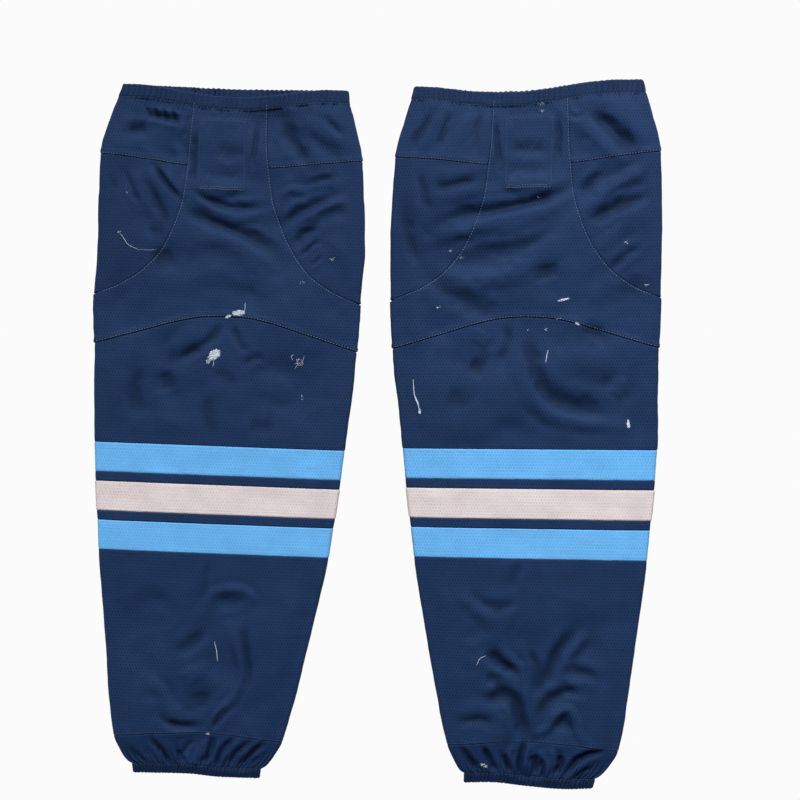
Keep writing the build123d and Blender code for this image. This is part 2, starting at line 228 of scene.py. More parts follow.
RIGHT_FOLDS = [
    (2.2, 5, [(-62, 30), (-70, 48), (-76, 72)]), (-2.2, 4, [(-84, 28), (-92, 50), (-98, 74)]),
    (-2.4, 6, [(-104, 30), (-116, 50), (-130, 72)]), (1.8, 6, [(-92, 30), (-104, 52), (-114, 70)]),
    (-1.8, 3.5, [(-50, 30), (-56, 52), (-60, 78)]), (-3.8, 9, [(68, 30), (88, 50), (116, 78)]),
    (2.4, 8, [(54, 42), (72, 62), (88, 84)]), (2.2, 9, [(92, 26), (116, 48), (130, 66)]),
    (-1.6, 3, [(42, 34), (52, 40), (60, 34)]), (-1.3, 6, [(-22, 72), (22, 74)]),
    (4.2, 8, [(-28, 110), (0, 111), (29, 108)]), (-3.0, 3.0, [(-37, 40), (-34, 66), (-31, 94)]),
    (-2.4, 2.8, [(32, 38), (33, 66), (33, 90)]), (2.0, 6, [(-106, 95), (-80, 98), (-50, 97)]),
    (-2.4, 5, [(-106, 114), (-82, 110), (-54, 101)]), (1.6, 5, [(-92, 128), (-72, 122), (-52, 116)]),
    (-3.4, 5.5, [(-98, 150), (-70, 142), (-42, 138), (-8, 133), (22, 126), (48, 114)]),
    (3.0, 7, [(-104, 172), (-66, 160), (-20, 150), (20, 140), (52, 124)]),
    (-1.6, 7, [(-82, 196), (-40, 184), (-4, 176), (24, 164)]),
    (2.4, 9, [(-92, 208), (-50, 212), (-14, 206), (18, 186), (52, 158)]),
    (-2.2, 9, [(-106, 208), (-84, 226), (-56, 242), (-26, 250)]),
    (-2.2, 6, [(-135, 128), (-128, 164), (-116, 198)]), (1.8, 6, [(-130, 98), (-124, 124), (-116, 146)]),
    (-1.8, 5, [(-118, 96), (-112, 118), (-108, 140)]),
    (3.2, 7, [(58, 144), (84, 122), (110, 106), (134, 95)]), (-2.4, 5, [(58, 122), (72, 106), (84, 98)]),
    (-3.2, 6, [(60, 153), (78, 146), (100, 136), (136, 124)]),
    (2.2, 7, [(80, 184), (98, 162), (116, 148)]), (-2.2, 5, [(88, 206), (106, 190), (124, 178)]),
    (1.4, 10, [(62, 236), (90, 222), (120, 214)]), (-1.4, 12, [(20, 196), (24, 216)]),
    (-2.2, 4.5, [(-18, 260), (-20, 282), (-28, 308)]), (-1.8, 12, [(-62, 304), (-44, 314)]),
    (1.4, 8, [(-44, 268), (-56, 284)]),
    (-3.0, 9, [(2, 270), (6, 300), (16, 328), (36, 346), (66, 352), (92, 358)]),
    (2.6, 6, [(-6, 322), (6, 346), (28, 362), (64, 370), (100, 372)]),
    (2.4, 11, [(44, 298), (70, 302), (98, 300)]), (1.8, 7, [(92, 342), (108, 318)]),
    (-1.8, 7, [(86, 272), (60, 268)]), (-1.2, 14, [(-90, 340), (-60, 352)]),
    (1.3, 14, [(-92, 364), (-40, 366)]), (-1.6, 6, [(-10, 520), (-18, 534), (-22, 552)]),
    (-2.0, 6, [(-56, 562), (-36, 568), (-14, 566)]), (2.2, 6, [(-80, 554), (-60, 572), (-34, 592)]),
    (1.6, 5, [(-12, 566), (-26, 582), (-31, 600)]),
    (3.2, 4, [(-31, 596), (-26, 622), (-12, 636), (-8, 660), (-4, 690), (0, 706)]),
    (3.4, 4, [(0, 706), (14, 700), (26, 684), (38, 677), (46, 690), (52, 708), (68, 716)]),
    (-4.6, 7, [(-52, 676), (-34, 664), (-20, 670), (-14, 690), (-8, 714)]),
    (-4.2, 6, [(-48, 616), (-36, 628), (-16, 638)]), (-2.4, 6, [(-52, 648), (-30, 650)]),
    (-2.6, 5, [(-2, 612), (6, 640), (6, 668)]), (-3.0, 6, [(48, 590), (28, 616), (18, 640), (10, 664)]),
    (2.2, 5, [(62, 592), (44, 616), (30, 640)]), (-2.6, 6, [(40, 636), (56, 638), (74, 644)]),
    (2.0, 5, [(36, 650), (56, 652)]), (-3.6, 6, [(54, 652), (34, 660), (14, 674), (4, 692)]),
    (-2.4, 7, [(22, 702), (34, 692), (42, 704)]), (2.2, 6, [(-78, 684), (-56, 678), (-38, 684)]),
    (-2.2, 5, [(-84, 697), (-60, 692), (-42, 698)]), (1.2, 16, [(-70, 600), (-72, 640)]),
    (-5.2, 3.3, [(-82, 720), (-66, 738), (-54, 751)]), (-4.6, 3.0, [(-56, 719), (-46, 735), (-36, 751)]),
    (-4.8, 2.9, [(-34, 728), (-26, 740), (-20, 751)]), (-5.4, 3.1, [(-9, 714), (-14, 740), (-9, 753)]),
    (-5.8, 4.6, [(-2, 728), (4, 738), (7, 750)]), (-4.3, 2.6, [(10, 730), (12, 742), (13, 753)]),
    (-5.4, 3.7, [(28, 726), (31, 736), (24, 748)]),
    (-5.4, 3.3, [(82, 721), (62, 724), (49, 731), (34, 751)]),
    (-4.3, 2.9, [(66, 736), (54, 744), (44, 753)]), (-3.2, 2.4, [(60, 745), (50, 755)]),
    (2.4, 4.0, [(-20, 716), (-24, 728), (-17, 744)]), (2.5, 4.0, [(18, 718), (21, 732), (18, 748)]),
    (2.1, 4.4, [(70, 730), (52, 740), (40, 752)]),
]

# Pulled and broken yarn: a tuft or fuzz is a place (across, down), its length, width, turn in degrees and
# count of fibres, and a thread its radius and the places that it passes through.
LEFT_SNAGS = [
    ("tuft", 14, 250, 15, 6.0, 8, 130), ("tuft", 3, 254, 7, 2.6, 25, 26),
    ("tuft", -11, 297, 15, 10, 42, 170), ("fuzz", -17, 304, 7, 5, 60, 30),
    ("thread", 0.26, [(20, 248), (21, 243), (20.5, 238)]),
    ("thread", 0.22, [(-12, 302), (-11.5, 307), (-12, 310)]),
    ("thread", 0.20, [(76, 293), (73, 296), (75, 300)]),
    ("thread", 0.20, [(87, 294), (86, 300), (82, 306)]),
    ("thread", 0.18, [(81, 298), (80, 304), (77, 310)]), ("fuzz", 82, 302, 8, 12, 70, 20),
    ("fuzz", -114, 121, 2.2, 2.0, 0, 2), ("fuzz", 112, 187, 6, 4, 20, 5), ("fuzz", 82, 214, 5, 3, 0, 4),
    ("fuzz", 11, 715, 4, 2.4, 20, 6), ("fuzz", 87, 340, 6, 6, 50, 4), ("fuzz", -122, 165, 6, 1.6, 12, 4),
    ("thread", 0.22, [(-123, 165), (-119, 169), (-113, 178), (-101, 184)]),
    ("thread", 0.11, [(-101, 184), (-89, 184), (-81, 183)]),
    ("thread", 0.40, [(9, 613), (12, 623), (14, 635)]),
]
RIGHT_SNAGS = [
    ("fuzz", 14, 24, 5, 2.2, 30, 4), ("fuzz", 15, 32, 2.4, 4, 80, 3), ("tuft", 41, 236, 14, 2.2, 14, 24),
    ("fuzz", 36, 256, 6, 2.0, 5, 8), ("tuft", 55, 262, 6, 2.4, -35, 8), ("fuzz", 22, 267, 4, 2, 70, 4),
    ("fuzz", 12, 124, 2.4, 1.8, 0, 4), ("fuzz", 107, 176, 4, 4, 0, 5), ("fuzz", -82, 182, 4, 3, 0, 4),
    ("fuzz", 131, 221, 4, 3, 0, 4), ("tuft", 107, 370, 3.6, 9, 0, 18),
    ("fuzz", -52, 741, 9, 3.4, -25, 20), ("fuzz", -70, 190, 4, 3, 0, 3),
    ("fuzz", -95, 243, 7, 1.4, 15, 5), ("fuzz", 2, 268, 3, 2, 0, 3), ("tuft", -118, 357, 2.4, 6, 0, 5),
    ("thread", 0.50, [(-123, 322), (-123, 336), (-120, 348), (-117, 358)]),
    ("thread", 0.40, [(-123, 338), (-118, 350)]), ("thread", 0.40, [(21, 304), (22, 298), (24, 290)]),
    ("thread", 0.26, [(-60, 632), (-56, 625), (-50, 622)]),
]

# How each sock lies. column is its own middle in OUTLINE, wide and long scale its cut, and tilts are the
# slopes of its rows at the thigh and at the ankle. outward is the side that faces away from the other sock.
LAYS = {
    "left": dict(
        column=2, wide=0.985, long=0.979, tilts=(0.03, 0.043), seed=11, outward=-1, dip=11.0,
        back_dip=0.15, panel_shift=-3.5, patch_shift=-10.0,
        ankle_wave=[(-75, 0.0), (-48, -1.5), (-10, -2.3), (30, 0.0), (75, 0.0)], mouth_middle=0.0,
        folds=LEFT_FOLDS, snags=LEFT_SNAGS),
    "right": dict(
        column=3, wide=1.0, long=1.0, tilts=(-0.03, 0.042), seed=47, outward=1, dip=10.0, back_dip=0.85,
        panel_shift=1.5, patch_shift=0.5,
        ankle_wave=[(-75, 0.0), (-36, -2.6), (0, 0.3), (38, 1.5), (75, 0.0)], mouth_middle=-22.0,
        folds=RIGHT_FOLDS, snags=RIGHT_SNAGS),
}


# ---------------------------------------------------------------- plain maths

def smooth_curve(x, y):
    """A function that runs smoothly through points, with no overshoot between them."""
    x, y = np.asarray(x, float), np.asarray(y, float)
    rise = np.diff(y) / np.diff(x)
    slope = np.zeros_like(y)
    slope[0], slope[-1] = rise[0], rise[-1]
    same = rise[:-1] * rise[1:] > 0
    both = np.where(same, rise[:-1] + rise[1:], 1.0)
    slope[1:-1] = np.where(same, 2 * rise[:-1] * rise[1:] / both, 0.0)

    def value(at):
        at = np.asarray(at, float)
        i = np.clip(np.searchsorted(x, at, side="right") - 1, 0, len(x) - 2)
        step = x[i + 1] - x[i]
        t = np.clip((at - x[i]) / step, 0, 1)
        t2, t3 = t * t, t * t * t
        return ((2 * t3 - 3 * t2 + 1) * y[i] + (t3 - 2 * t2 + t) * step * slope[i]
                + (3 * t2 - 2 * t3) * y[i + 1] + (t3 - t2) * step * slope[i + 1])
    return value


def ease(t):
    """From 0 to 1, smoothly, as t goes from 0 to 1."""
    t = np.clip(t, 0, 1)
    return t * t * (3 - 2 * t)


def noise(x, y, seed):
    """Smooth noise from -1 to 1, with features about one unit across."""
    x, y = np.broadcast_arrays(np.asarray(x, float), np.asarray(y, float))
    xi, yi = np.floor(x).astype(np.int64), np.floor(y).astype(np.int64)
    fx, fy = ease(x - xi), ease(y - yi)

    def corner(i, j):
        mixed = ((xi + i) * 374761393 + (yi + j) * 668265263 + seed * 974634777) & 0xFFFFFFFF
        mixed = ((mixed ^ (mixed >> 13)) * 1274126177) & 0xFFFFFFFF
        return ((mixed ^ (mixed >> 16)) & 0xFFFF) / 32767.5 - 1

    low = corner(0, 0) * (1 - fx) + corner(1, 0) * fx
    high = corner(0, 1) * (1 - fx) + corner(1, 1) * fx
    return low * (1 - fy) + high * fy


def crumple(x, y, seed):
    """Creased noise: soft hills that meet in narrow valleys."""
    return 1 - 2 * np.abs(noise(x, y, seed))


def unit(vectors):
    """The same directions at length one."""
    return vectors / np.maximum(np.linalg.norm(vectors, axis=-1, keepdims=True), 1e-9)


def smooth_line(points, count):
    """Points evenly along a smooth line through points, and each one's share of the way."""
    points = np.array(points, float)
    if len(points) == 2:
        points = np.array([points[0], (points[0] + points[1]) / 2, points[1]])
    gaps = np.linalg.norm(np.diff(points, axis=0), axis=1)
    along = np.concatenate([[0], np.cumsum(gaps)])
    share = np.linspace(0, 1, count)
    at = share * along[-1]
    return np.stack([smooth_curve(along, points[:, k])(at) for k in (0, 1)], axis=1), share


def nearest(line, share, u, v):
    """How far the nearest place on a line is, and that place's share of the way."""
    best = np.full(u.shape, 1e9)
    where = np.zeros(u.shape)
    for a, b, t0, t1 in zip(line[:-1], line[1:], share[:-1], share[1:]):
        run = b - a
        t = np.clip(((u - a[0]) * run[0] + (v - a[1]) * run[1]) / (run @ run), 0, 1)
        gap = (u - a[0] - t * run[0]) ** 2 + (v - a[1] - t * run[1]) ** 2
        closer = gap < best
        best = np.where(closer, gap, best)
        where = np.where(closer, t0 + t * (t1 - t0), where)
    return np.sqrt(best), where


half_width = smooth_curve(OUTLINE[:, 0], OUTLINE[:, 1])
centre_seam = smooth_curve(*CENTRE_SEAM.T)
knee_seam = smooth_curve(*KNEE_SEAM.T)
cuff_seam = smooth_curve(*CUFF_SEAM.T)
side_seam = smooth_curve(*SIDE_SEAM.T)


# ---------------------------------------------------------------- gathers

def waist_gathers(m, v, edge, seed):
    """Depth of the ribs over the thigh's elastic and of the pleats under it. edge is how far down from the
    opening's edge a place is."""
    waist = ease((BAND_LINE + 1.5 - edge) / 2)
    rib = (m + RIB_LEAN * edge) / RIB_PITCH + 0.45 * noise(m / 17, 0.5, seed)
    crest = np.abs(np.sin(math.pi * rib)) ** 0.7
    ribs = RIB_DEPTH * (0.70 + 0.40 * noise(m / 11, 1.5, seed)) * (1 - crest)
    line = np.exp(-((edge - BAND_LINE) / 1.3) ** 2)
    depth = waist * ribs + BAND_LINE_DEPTH * line * (0.75 + 0.25 * crest)
    under = edge - BAND_LINE
    below = ease(under / 2) * (1 - ease((under - 5) / 40))
    slant = m + 0.35 * under * noise(m / 40, 2.5, seed)
    pucker = 1 - np.abs(np.sin(math.pi * (m + 0.3 * edge) / PUCKER_PITCH)) ** 0.7
    puckers = PUCKER_DEPTH * pucker * np.exp(-under / 7.5)
    fine = FINE_PLEATS * (1 - crumple(slant / 6.5, v / 60, seed + 1)) * np.exp(-under / 16)
    wide = WIDE_PLEATS * (1 - crumple(slant / 19, v / 80, seed + 2)) * (0.5 + 0.5 * noise(m / 50, 5, seed))
    return depth + below * np.maximum(puckers + fine + wide - PLEATS_LEVEL, 0)


def ankle_gathers(m, v, seed):
    """Depth of the cuff's pleats and of the ribs over the ankle's elastic."""
    spread = m / half_width(v)
    cuff = ease((v - cuff_seam(np.abs(m)) - 4) / 26)
    phase = (CUFF_PLEATS * spread + 0.9 * noise(spread * 7, 0.5, seed + 6)
             + 0.25 * noise(spread * 8, v / 14, seed + 7))
    valley = 1 - np.abs(np.sin(math.pi * phase)) ** 0.6
    fade = 1 - ease((v - ANKLE_HEM + 2) / 4)
    pleats = cuff * fade * CUFF_DEPTH * (0.7 + 0.5 * noise(spread * 9, 1.5, seed + 8)) * valley
    ankle = ease((v - ANKLE_HEM + 2) / 3)
    rib = ANKLE_RIBS * spread + 0.5 * noise(spread * 9, 0.5, seed + 9)
    height = 0.75 + 0.35 * noise(spread * 24, 2.5, seed + 9)
    return pleats + ankle * CUFF_DEPTH * height * (1 - np.abs(np.sin(math.pi * rib)) ** 0.6)


# ---------------------------------------------------------------- the laid sock

class Sock:
    """One laid sock: the surface that everything on it is built on."""

    def __init__(self, side):
        self.side = side
        self.upper = f"{side}_upper"
        self.lower = f"{side}_lower"
        self.lay = LAYS[side]
        self.seed = self.lay["seed"]
        self.shift = smooth_curve(OUTLINE[:, 0], OUTLINE[:, self.lay["column"]])
        self.wave = smooth_curve(*zip(*self.lay["ankle_wave"]))
        self.joint = next(j for j in frame["joints"] if j["name"] == f"{side}_fold")
        self.pivot = np.array(self.joint["pos_m"][:2]) / MM
        self.survey()

    def width(self, v):
        """Half the laid width, with the small steps where one panel ends and the next begins."""
        v = np.asarray(v, float)
        flare = FLARE * ease((v - FLARE_START + 4) / 6) * (1 - ease((v - FLARE_END) / 3))
        cream = STRIPES_TOP + STRIPE + SPACER
        spread = ease((v - cream + 0.6) / 1.2) * (1 - ease((v - cream - STRIPE + 0.6) / 1.2))
        uneven = 0.5 * noise(v / 23, 0.5, self.seed + 3) + 0.25 * noise(v / 7, 0.5, self.seed + 4)
        inland = ease((v - 20) / 10) * (1 - ease((v - 700) / 15))
        return half_width(v) + flare + CREAM_SPREAD * spread + uneven * inland

    def around(self, v):
        """From the middle of the front to the side fold, round the tube."""
        return self.width(v) + (math.pi / 2 - 1) * SIDE_FOLD

    def seam(self, v, hand):
        """From a centre panel's middle to its seam, on the right (hand 1) or on the left (-1)."""
        return np.minimum(centre_seam(v) + hand * self.lay["panel_shift"], self.around(v))

    def seam_end(self, hand):
        """How far down the centre panel's seam meets the side fold."""
        v = np.arange(200.0, 250.0, 0.1)
        return v[np.argmax(centre_seam(v) + hand * self.lay["panel_shift"] > self.around(v) - 0.5)]

    def flat(self, u, v):
        """The place on the ground, in millimetres, below a place on the flattened sock."""
        lay = self.lay
        tilt = lay["tilts"][0] + v / LENGTH * (lay["tilts"][1] - lay["tilts"][0])
        x = self.pivot[0] + self.shift(v) - self.shift(STRIPES_TOP) + u * lay["wide"]
        y = self.pivot[1] - (v - STRIPES_TOP) * lay["long"] - tilt * u
        return x, y - self.wave(u) * ease((v - 738) / 16)

    def fold_heights(self, folds, u, v):
        """The wrinkles that are drawn one by one."""
        total = np.zeros_like(u)
        for height, width, points in folds:
            line, share = smooth_line(points, 28)
            low, high = line.min(axis=0) - 3.4 * width, line.max(axis=0) + 3.4 * width
            near = (u > low[0]) & (u < high[0]) & (v > low[1]) & (v < high[1])
            gap, where = nearest(line, share, u[near], v[near])
            distance = gap + 0.28 * width * noise(u[near] / 9, v[near] / 9, self.seed + 5)
            taper = ease(where / 0.3) * ease((1 - where) / 0.3) * 0.85 + 0.15
            core = np.exp(-(distance / width) ** 2)
            shoulder = np.exp(-((distance - 1.9 * width) / (0.85 * width)) ** 2)
            gain = FOLD_GAIN[0] + FOLD_GAIN[1] * width
            total[near] += gain * height * taper * (core - SHOULDER * shoulder)
        return total

    def survey(self):
        """The heights of the front and of the back on a fine grid, and the front's painted shade and
        highlight.
        """
        across = np.arange(-SURVEY_REACH, SURVEY_REACH + 0.5, 1.0)
        down = np.arange(-SURVEY_ABOVE, LENGTH + 12, 1.0)
        u, v = np.meshgrid(across, down)
        edge = v - self.dip(u)
        hem = np.maximum(ease((24 - edge) / 14), ease((v - ANKLE_HEM + 1) / 6))
        warp = 14 * noise(u / 45, v / 45, self.seed + 7)
        self.survey_front(u, v, warp, hem)
        self.survey_back(u, v, warp, hem)

    def survey_front(self, u, v, warp, hem):
        """Its height above the side folds, and its painted shading: painted shade above 0 in a valley,
        painted highlight below 0 on a crest.
        """
        hills = sum(height * noise(u / wide, v / long, self.seed + own) for height, wide, long, own in HILLS)
        creases = CREASES * crumple((u + warp) / 60, (v - warp) / 48, self.seed + 8)
        quiet = ease((v - STRIPES_TOP + 30) / 30) * (1 - ease((v - 540) / 40))
        height = REST_HEIGHT + (hills + creases) * (1 - 0.6 * quiet)
        folds = self.fold_heights(self.lay["folds"], u, v) * (1 - hem)
        beside = np.abs(u - self.lay["patch_shift"]) - PATCH_HALF_WIDTH
        patch = math.prod(ease((PATCH_MARGIN - gap) / PATCH_SLOPE)
                          for gap in (beside, PATCH_TOP - v, v - PATCH_BOTTOM))
        height = height * (1 - 0.7 * hem) + 1.3 * hem + folds + PATCH_RISE * patch
        self.front = np.where(height > 0, CREST * np.tanh(height / CREST), TROUGH * np.tanh(height / TROUGH))
        # painted shade in the wrinkles' valleys and painted highlight on their crests
        self.painted_fold_shading = np.where(folds < 0, np.tanh(np.maximum(-folds - 0.3, 0) / 3.2),
                               -0.40 * np.tanh(np.maximum(folds - 0.5, 0) / 2.5))

    def survey_back(self, u, v, warp, hem):
        """Its height above the ground. It lies up along the other sock's wrinkles, mirrored."""
        other = LAYS["right" if self.side == "left" else "left"]["folds"]
        mirror = [(-abs(height), width * 1.3, [(-a, b) for a, b in points])
                  for height, width, points in other]
        pressed = 0.32 * self.fold_heights(mirror, u, v)
        ripples = 0.9 * crumple((u - warp) / 44, (v + warp) / 66, self.seed + 9)
        rise = BACK_LIFT - pressed - np.minimum(ripples, BACK_LIFT) + 0.2 * noise(u / 20, v / 20, 9)
        self.back = np.maximum(rise, 0) * (1 - hem)

    def surveyed(self, grid, u, v):
        """The surveyed height at any place."""
        column = np.clip(u + SURVEY_REACH, 0, grid.shape[1] - 1.001)
        row = np.clip(v + SURVEY_ABOVE, 0, grid.shape[0] - 1.001)
        i, j = row.astype(int), column.astype(int)
        fi, fj = row - i, column - j
        return ((grid[i, j] * (1 - fj) + grid[i, j + 1] * fj) * (1 - fi)
                + (grid[i + 1, j] * (1 - fj) + grid[i + 1, j + 1] * fj) * fi)

    def gathers(self, m, v, layer):
        """Depth of the gathers that the elastics make, 0 at their crests. m is mirrored at the side folds."""
        result = np.zeros(m.shape)
        ends = (v < GATHERS_END) | (v > LENGTH - GATHERS_END)
        if ends.any():
            share = 1.0 if layer == FRONT else self.lay["back_dip"]
            m, v, seed = m[ends], v[ends], self.seed + layer
            result[ends] = waist_gathers(m, v, v - share * self.dip(m), seed) + ankle_gathers(m, v, seed)
        return result

    def across(self, q, v):
        """Distance from the middle of the front or the back, to either side, up to the side fold."""
        side_at = self.around(v)
        t = np.abs(q)
        back = (t > side_at) & (t < 3 * side_at)
        m = np.where(back, 2 * side_at - t, np.where(t < 3 * side_at, t, t - 4 * side_at))
        return m * np.where(q < 0, -1.0, 1.0), back

    def dip(self, m):
        """How far the thigh opening's edge dips at the front."""
        return self.lay["dip"] * (1 - ease((np.abs(m - self.lay["mouth_middle"]) - 8) / 105))

    def mouth(self, q, v):
        """Where the thigh opening's edge is. It dips less at the back."""
        m, back = self.across(q, v)
        return self.dip(m) * np.where(back, self.lay["back_dip"], 1.0) + 0.35 * noise(m / 9, 4.5, self.seed)

    def place(self, q, v):
        """A place on the sock's outer face, in millimetres."""
        q, v = np.broadcast_arrays(np.asarray(q, float), np.asarray(v, float))
        side_at = self.around(v)
        m, back = self.across(q, v)
        hand = np.where(m < 0, -1.0, 1.0)
        folded = np.abs(m)
        straight = self.width(v) - SIDE_FOLD
        turn = np.clip((folded - straight) / SIDE_FOLD, 0, math.pi / 2)
        u = np.minimum(folded, straight) * hand

        half = 0.5 * ease((side_at - folded) / 7)
        front_share = np.where(back, 0.5 - half, 0.5 + half)
        gather = front_share * self.gathers(m, v, FRONT) + (1 - front_share) * self.gathers(m, v, BACK)
        inward = straight - folded
        lift = np.where(back, self.surveyed(self.back, u, v) * ease(inward / 14),
                        self.surveyed(self.front, u, v) * ease(inward / 26))
        radius = SIDE_FOLD - np.minimum(gather, SIDE_FOLD - LEAST_RADIUS)
        x, y = self.flat(u + np.sin(turn) * hand * radius, v)
        z = SIDE_FOLD + np.cos(turn) * np.where(back, -1.0, 1.0) * radius + lift
        return np.stack([x, y, z], axis=-1)

    def normal(self, q, v):
        """The outward direction at a place, over a few millimetres."""
        step = 1.2
        along = self.place(q + step, v) - self.place(q - step, v)
        down = self.place(q, v + step) - self.place(q, v - step)
        return unit(np.cross(down, along))


def mirrored(sock, curve):
    """A seam that runs alike on both sides of the front's and the back's middle."""
    return lambda q, v: curve(np.abs(sock.across(q, v)[0]))


def level(value):
    """A seam straight round the tube."""
    return lambda q, v: value + 0.0 * q


def whole_turn(sock):
    """The two edges of a ring, which meet in the middle of the back."""
    return (lambda v: -2.0 * sock.around(v)), (lambda v: 2.0 * sock.around(v))


# ---------------------------------------------------------------- meshes

def make_object(name, vertices, faces, material, uvs=None, painted_shading=None):
    """A mesh object from millimetre vertices. uvs is one pair for each vertex, in metres. painted_shading is
    the
    painted shade for each vertex: at 1 its knit is darkest, below 0 it is lighter as a painted highlight."""
    mesh = bpy.data.meshes.new(name)
    vertices = np.maximum(vertices, (-np.inf, -np.inf, 0.0))
    mesh.from_pydata((vertices * MM).tolist(), [], faces)
    if uvs is not None:
        layer = mesh.uv_layers.new(name="cut")
        corner = np.empty(len(mesh.loops), np.int32)
        mesh.loops.foreach_get("vertex_index", corner)
        layer.data.foreach_set("uv", uvs[corner].astype(np.float32).ravel())
    if painted_shading is not None:
        shade = mesh.attributes.new("painted_shading", "FLOAT", "POINT")
        shade.data.foreach_set("value", painted_shading.astype(np.float32).ravel())
    mesh.polygons.foreach_set("use_smooth", [True] * len(mesh.polygons))
    mesh.update()
    mesh.materials.append(material)
    obj = bpy.data.objects.new(name, mesh)
    bpy.context.scene.collection.objects.link(obj)
    return obj


def lines(length, step, near, far):
    """Lines across a panel: each one's share of the free length, its fixed distance, and what is fixed."""
    free = max(length - near[-1] - far[-1], step)
    count = max(int(round(free / step)), 2)
    share = np.concatenate([np.zeros(len(near) - 1), np.linspace(0, 1, count + 1), np.ones(len(far) - 1)])
    fixed = np.concatenate([near[:-1], np.full(count + 1, near[-1]), near[-1] + far[-1] - far[::-1][1:]])
    return share, fixed, near[-1] + far[-1]


def between(start, end, share, fixed, used):
    """Places from start to end on the lines, squeezed where the panel is narrower than its fixed lines."""
    long = np.maximum(end - start, 0.0)
    keep = np.minimum(1.0, long / (used + 2.0))
    return start + share * (long - used * keep) + fixed * keep


def shell_faces(rows, columns):
    """Quads of a closed thin shell: an outer and an inner sheet of the same grid, and the rim between."""
    index = np.arange(rows * columns).reshape(rows, columns)
    outer = np.stack([index[:-1, :-1], index[1:, :-1], index[1:, 1:], index[:-1, 1:]], axis=-1).reshape(-1, 4)
    base = rows * columns
    loop = np.concatenate([index[0, :-1], index[:-1, -1], index[-1, :0:-1], index[:0:-1, 0]])
    after = np.roll(loop, -1)
    rim = np.stack([loop, after, after + base, loop + base], axis=-1)
    return np.concatenate([outer, outer[:, ::-1] + base, rim]).tolist()


EDGE = np.array(SEAM_OFFSETS)
RAW = np.array([0.0])
HEM_START = 4.0         # where a hem's turned edge hands over to the panel's own rows
HEM_ROWS = np.arange(0.0, 26.0, 1.0)
# each hem's height, and the painted shade of its knit
HEMS = {"top": (WAIST_HEM, HEM_SHADE), "bottom": (LENGTH - ANKLE_HEM, ANKLE_HEM_SHADE)}  # height and shade


def panel_grid(sock, left, right, top, bottom, grid, sewn, hem):
    """Rows and columns of places on a panel, closer together beside its seams and in its hem."""
    start = (lambda q, v: top(q, v) + HEM_START) if hem == "top" else top
    end = (lambda q, v: bottom(q, v) - HEM_START) if hem == "bottom" else bottom
    near_top = HEM_ROWS if hem == "top" else EDGE if sewn[2] else RAW
    near_bottom = HEM_ROWS[:9] if hem == "bottom" else EDGE if sewn[3] else RAW
    behind = left(200.0) > sock.around(200.0)
    guess = np.linspace(-140, 140, 9) + (2 * sock.around(200.0) if behind else 0)
    span = float(np.max(end(guess, 200.0) - start(guess, 200.0)))
    middle = float(np.mean((start(guess, 200.0) + end(guess, 200.0)) / 2))
    share_v, fixed_v, used_v = lines(span, grid[1], near_top, near_bottom)
    share_q, fixed_q, used_q = lines(float(right(middle) - left(middle)), grid[0],
                                     EDGE if sewn[0] else RAW, EDGE if sewn[1] else RAW)
    v = np.full((len(share_v), len(share_q)), middle)
    for _ in range(24):
        q = between(left(v), right(v), share_q[None, :], fixed_q[None, :], used_q)
        v = between(start(q, v), end(q, v), share_v[:, None], fixed_v[:, None], used_v)
    return q, v


def edge_gaps(q, v, left, right, top, bottom, tucked):
    """The distances to a panel's four seams. A tucked edge lies that much past its seam."""
    def slope(edge):
        return np.sqrt(1 + (edge(v + 0.5) - edge(v - 0.5)) ** 2)
    gaps = [(q - left(v)) / slope(left), (right(v) - q) / slope(right), v - top(q, v), bottom(q, v) - v]
    return [gap - TUCK if k in tucked else gap for k, gap in enumerate(gaps)]


def seam_relief(sock, q, v, gaps, sewn, allowance, tucked):
    """How far the cloth stands out or in beside its seams: grooves, small pulls and folded edges."""
    relief = np.zeros_like(q)
    for k in tucked:
        relief -= TUCK_DEPTH * ease(-gaps[k] / (0.6 * TUCK))
    for k, gap in enumerate(gaps):
        if sewn[k]:
            run = v if k < 2 else q
            pulls = PULL_HEIGHT * noise(run / 4.5, gap / 9 + 7 * k, sock.seed + 70)
            relief -= SEAM_DEPTH * sewn[k] * np.exp(-(gap / SEAM_WIDTH) ** 2)
            relief += pulls * np.exp(-np.abs(gap) / 5) * ease(gap / 1.2)
        if allowance[k]:
            relief += ALLOWANCE * ease((gap - 0.3) / 0.9) * (1 - ease((gap - 5.0) / 1.6))
    return relief


def shading(sock, q, v, gaps, sewn):
    """Painted shade on the knit: darker in the front's hollows, at the side folds and beside seams."""
    m, behind = sock.across(q, v)
    painted_shading = np.where(behind, 0.0, sock.surveyed(sock.painted_fold_shading, m, v))
    painted_shading = np.maximum(painted_shading, FOLD_SHADE * ease((SIDE_FOLD - sock.around(v) + np.abs(m)) / 2.2))
    for gap, depth in zip(gaps, sewn):
        if depth:
            painted_shading = np.maximum(painted_shading, SEAM_SHADE * np.exp(-(gap / 1.4) ** 2))
    return painted_shading


def gather_shading(sock, q, v):
    """Painted shade: how much darker the knit is in the front's gathers."""
    m, behind = sock.across(q, v)
    return GATHER_SHADE * np.where(behind, 0.0, np.minimum(sock.gathers(m, v, FRONT), GATHERED_MOST))


def turned_edge(turned):
    """The rows of a hem's turn: each one's distance from the edge, and the angle that it faces, from a
    quarter turn inwards to a quarter turn outwards."""
    arc = math.pi * HEM_TURN / 2
    run = np.concatenate([np.linspace(-turned, -arc, 6)[:-1], np.linspace(-arc, arc, 9), [HEM_START - 0.7]])
    angle = np.clip(run / arc, -1, 1) * math.pi / 2
    at = np.where(np.abs(run) < arc, HEM_TURN * (1 - np.cos(angle)), np.abs(run) - arc + HEM_TURN)
    return at[:, None], angle[:, None]


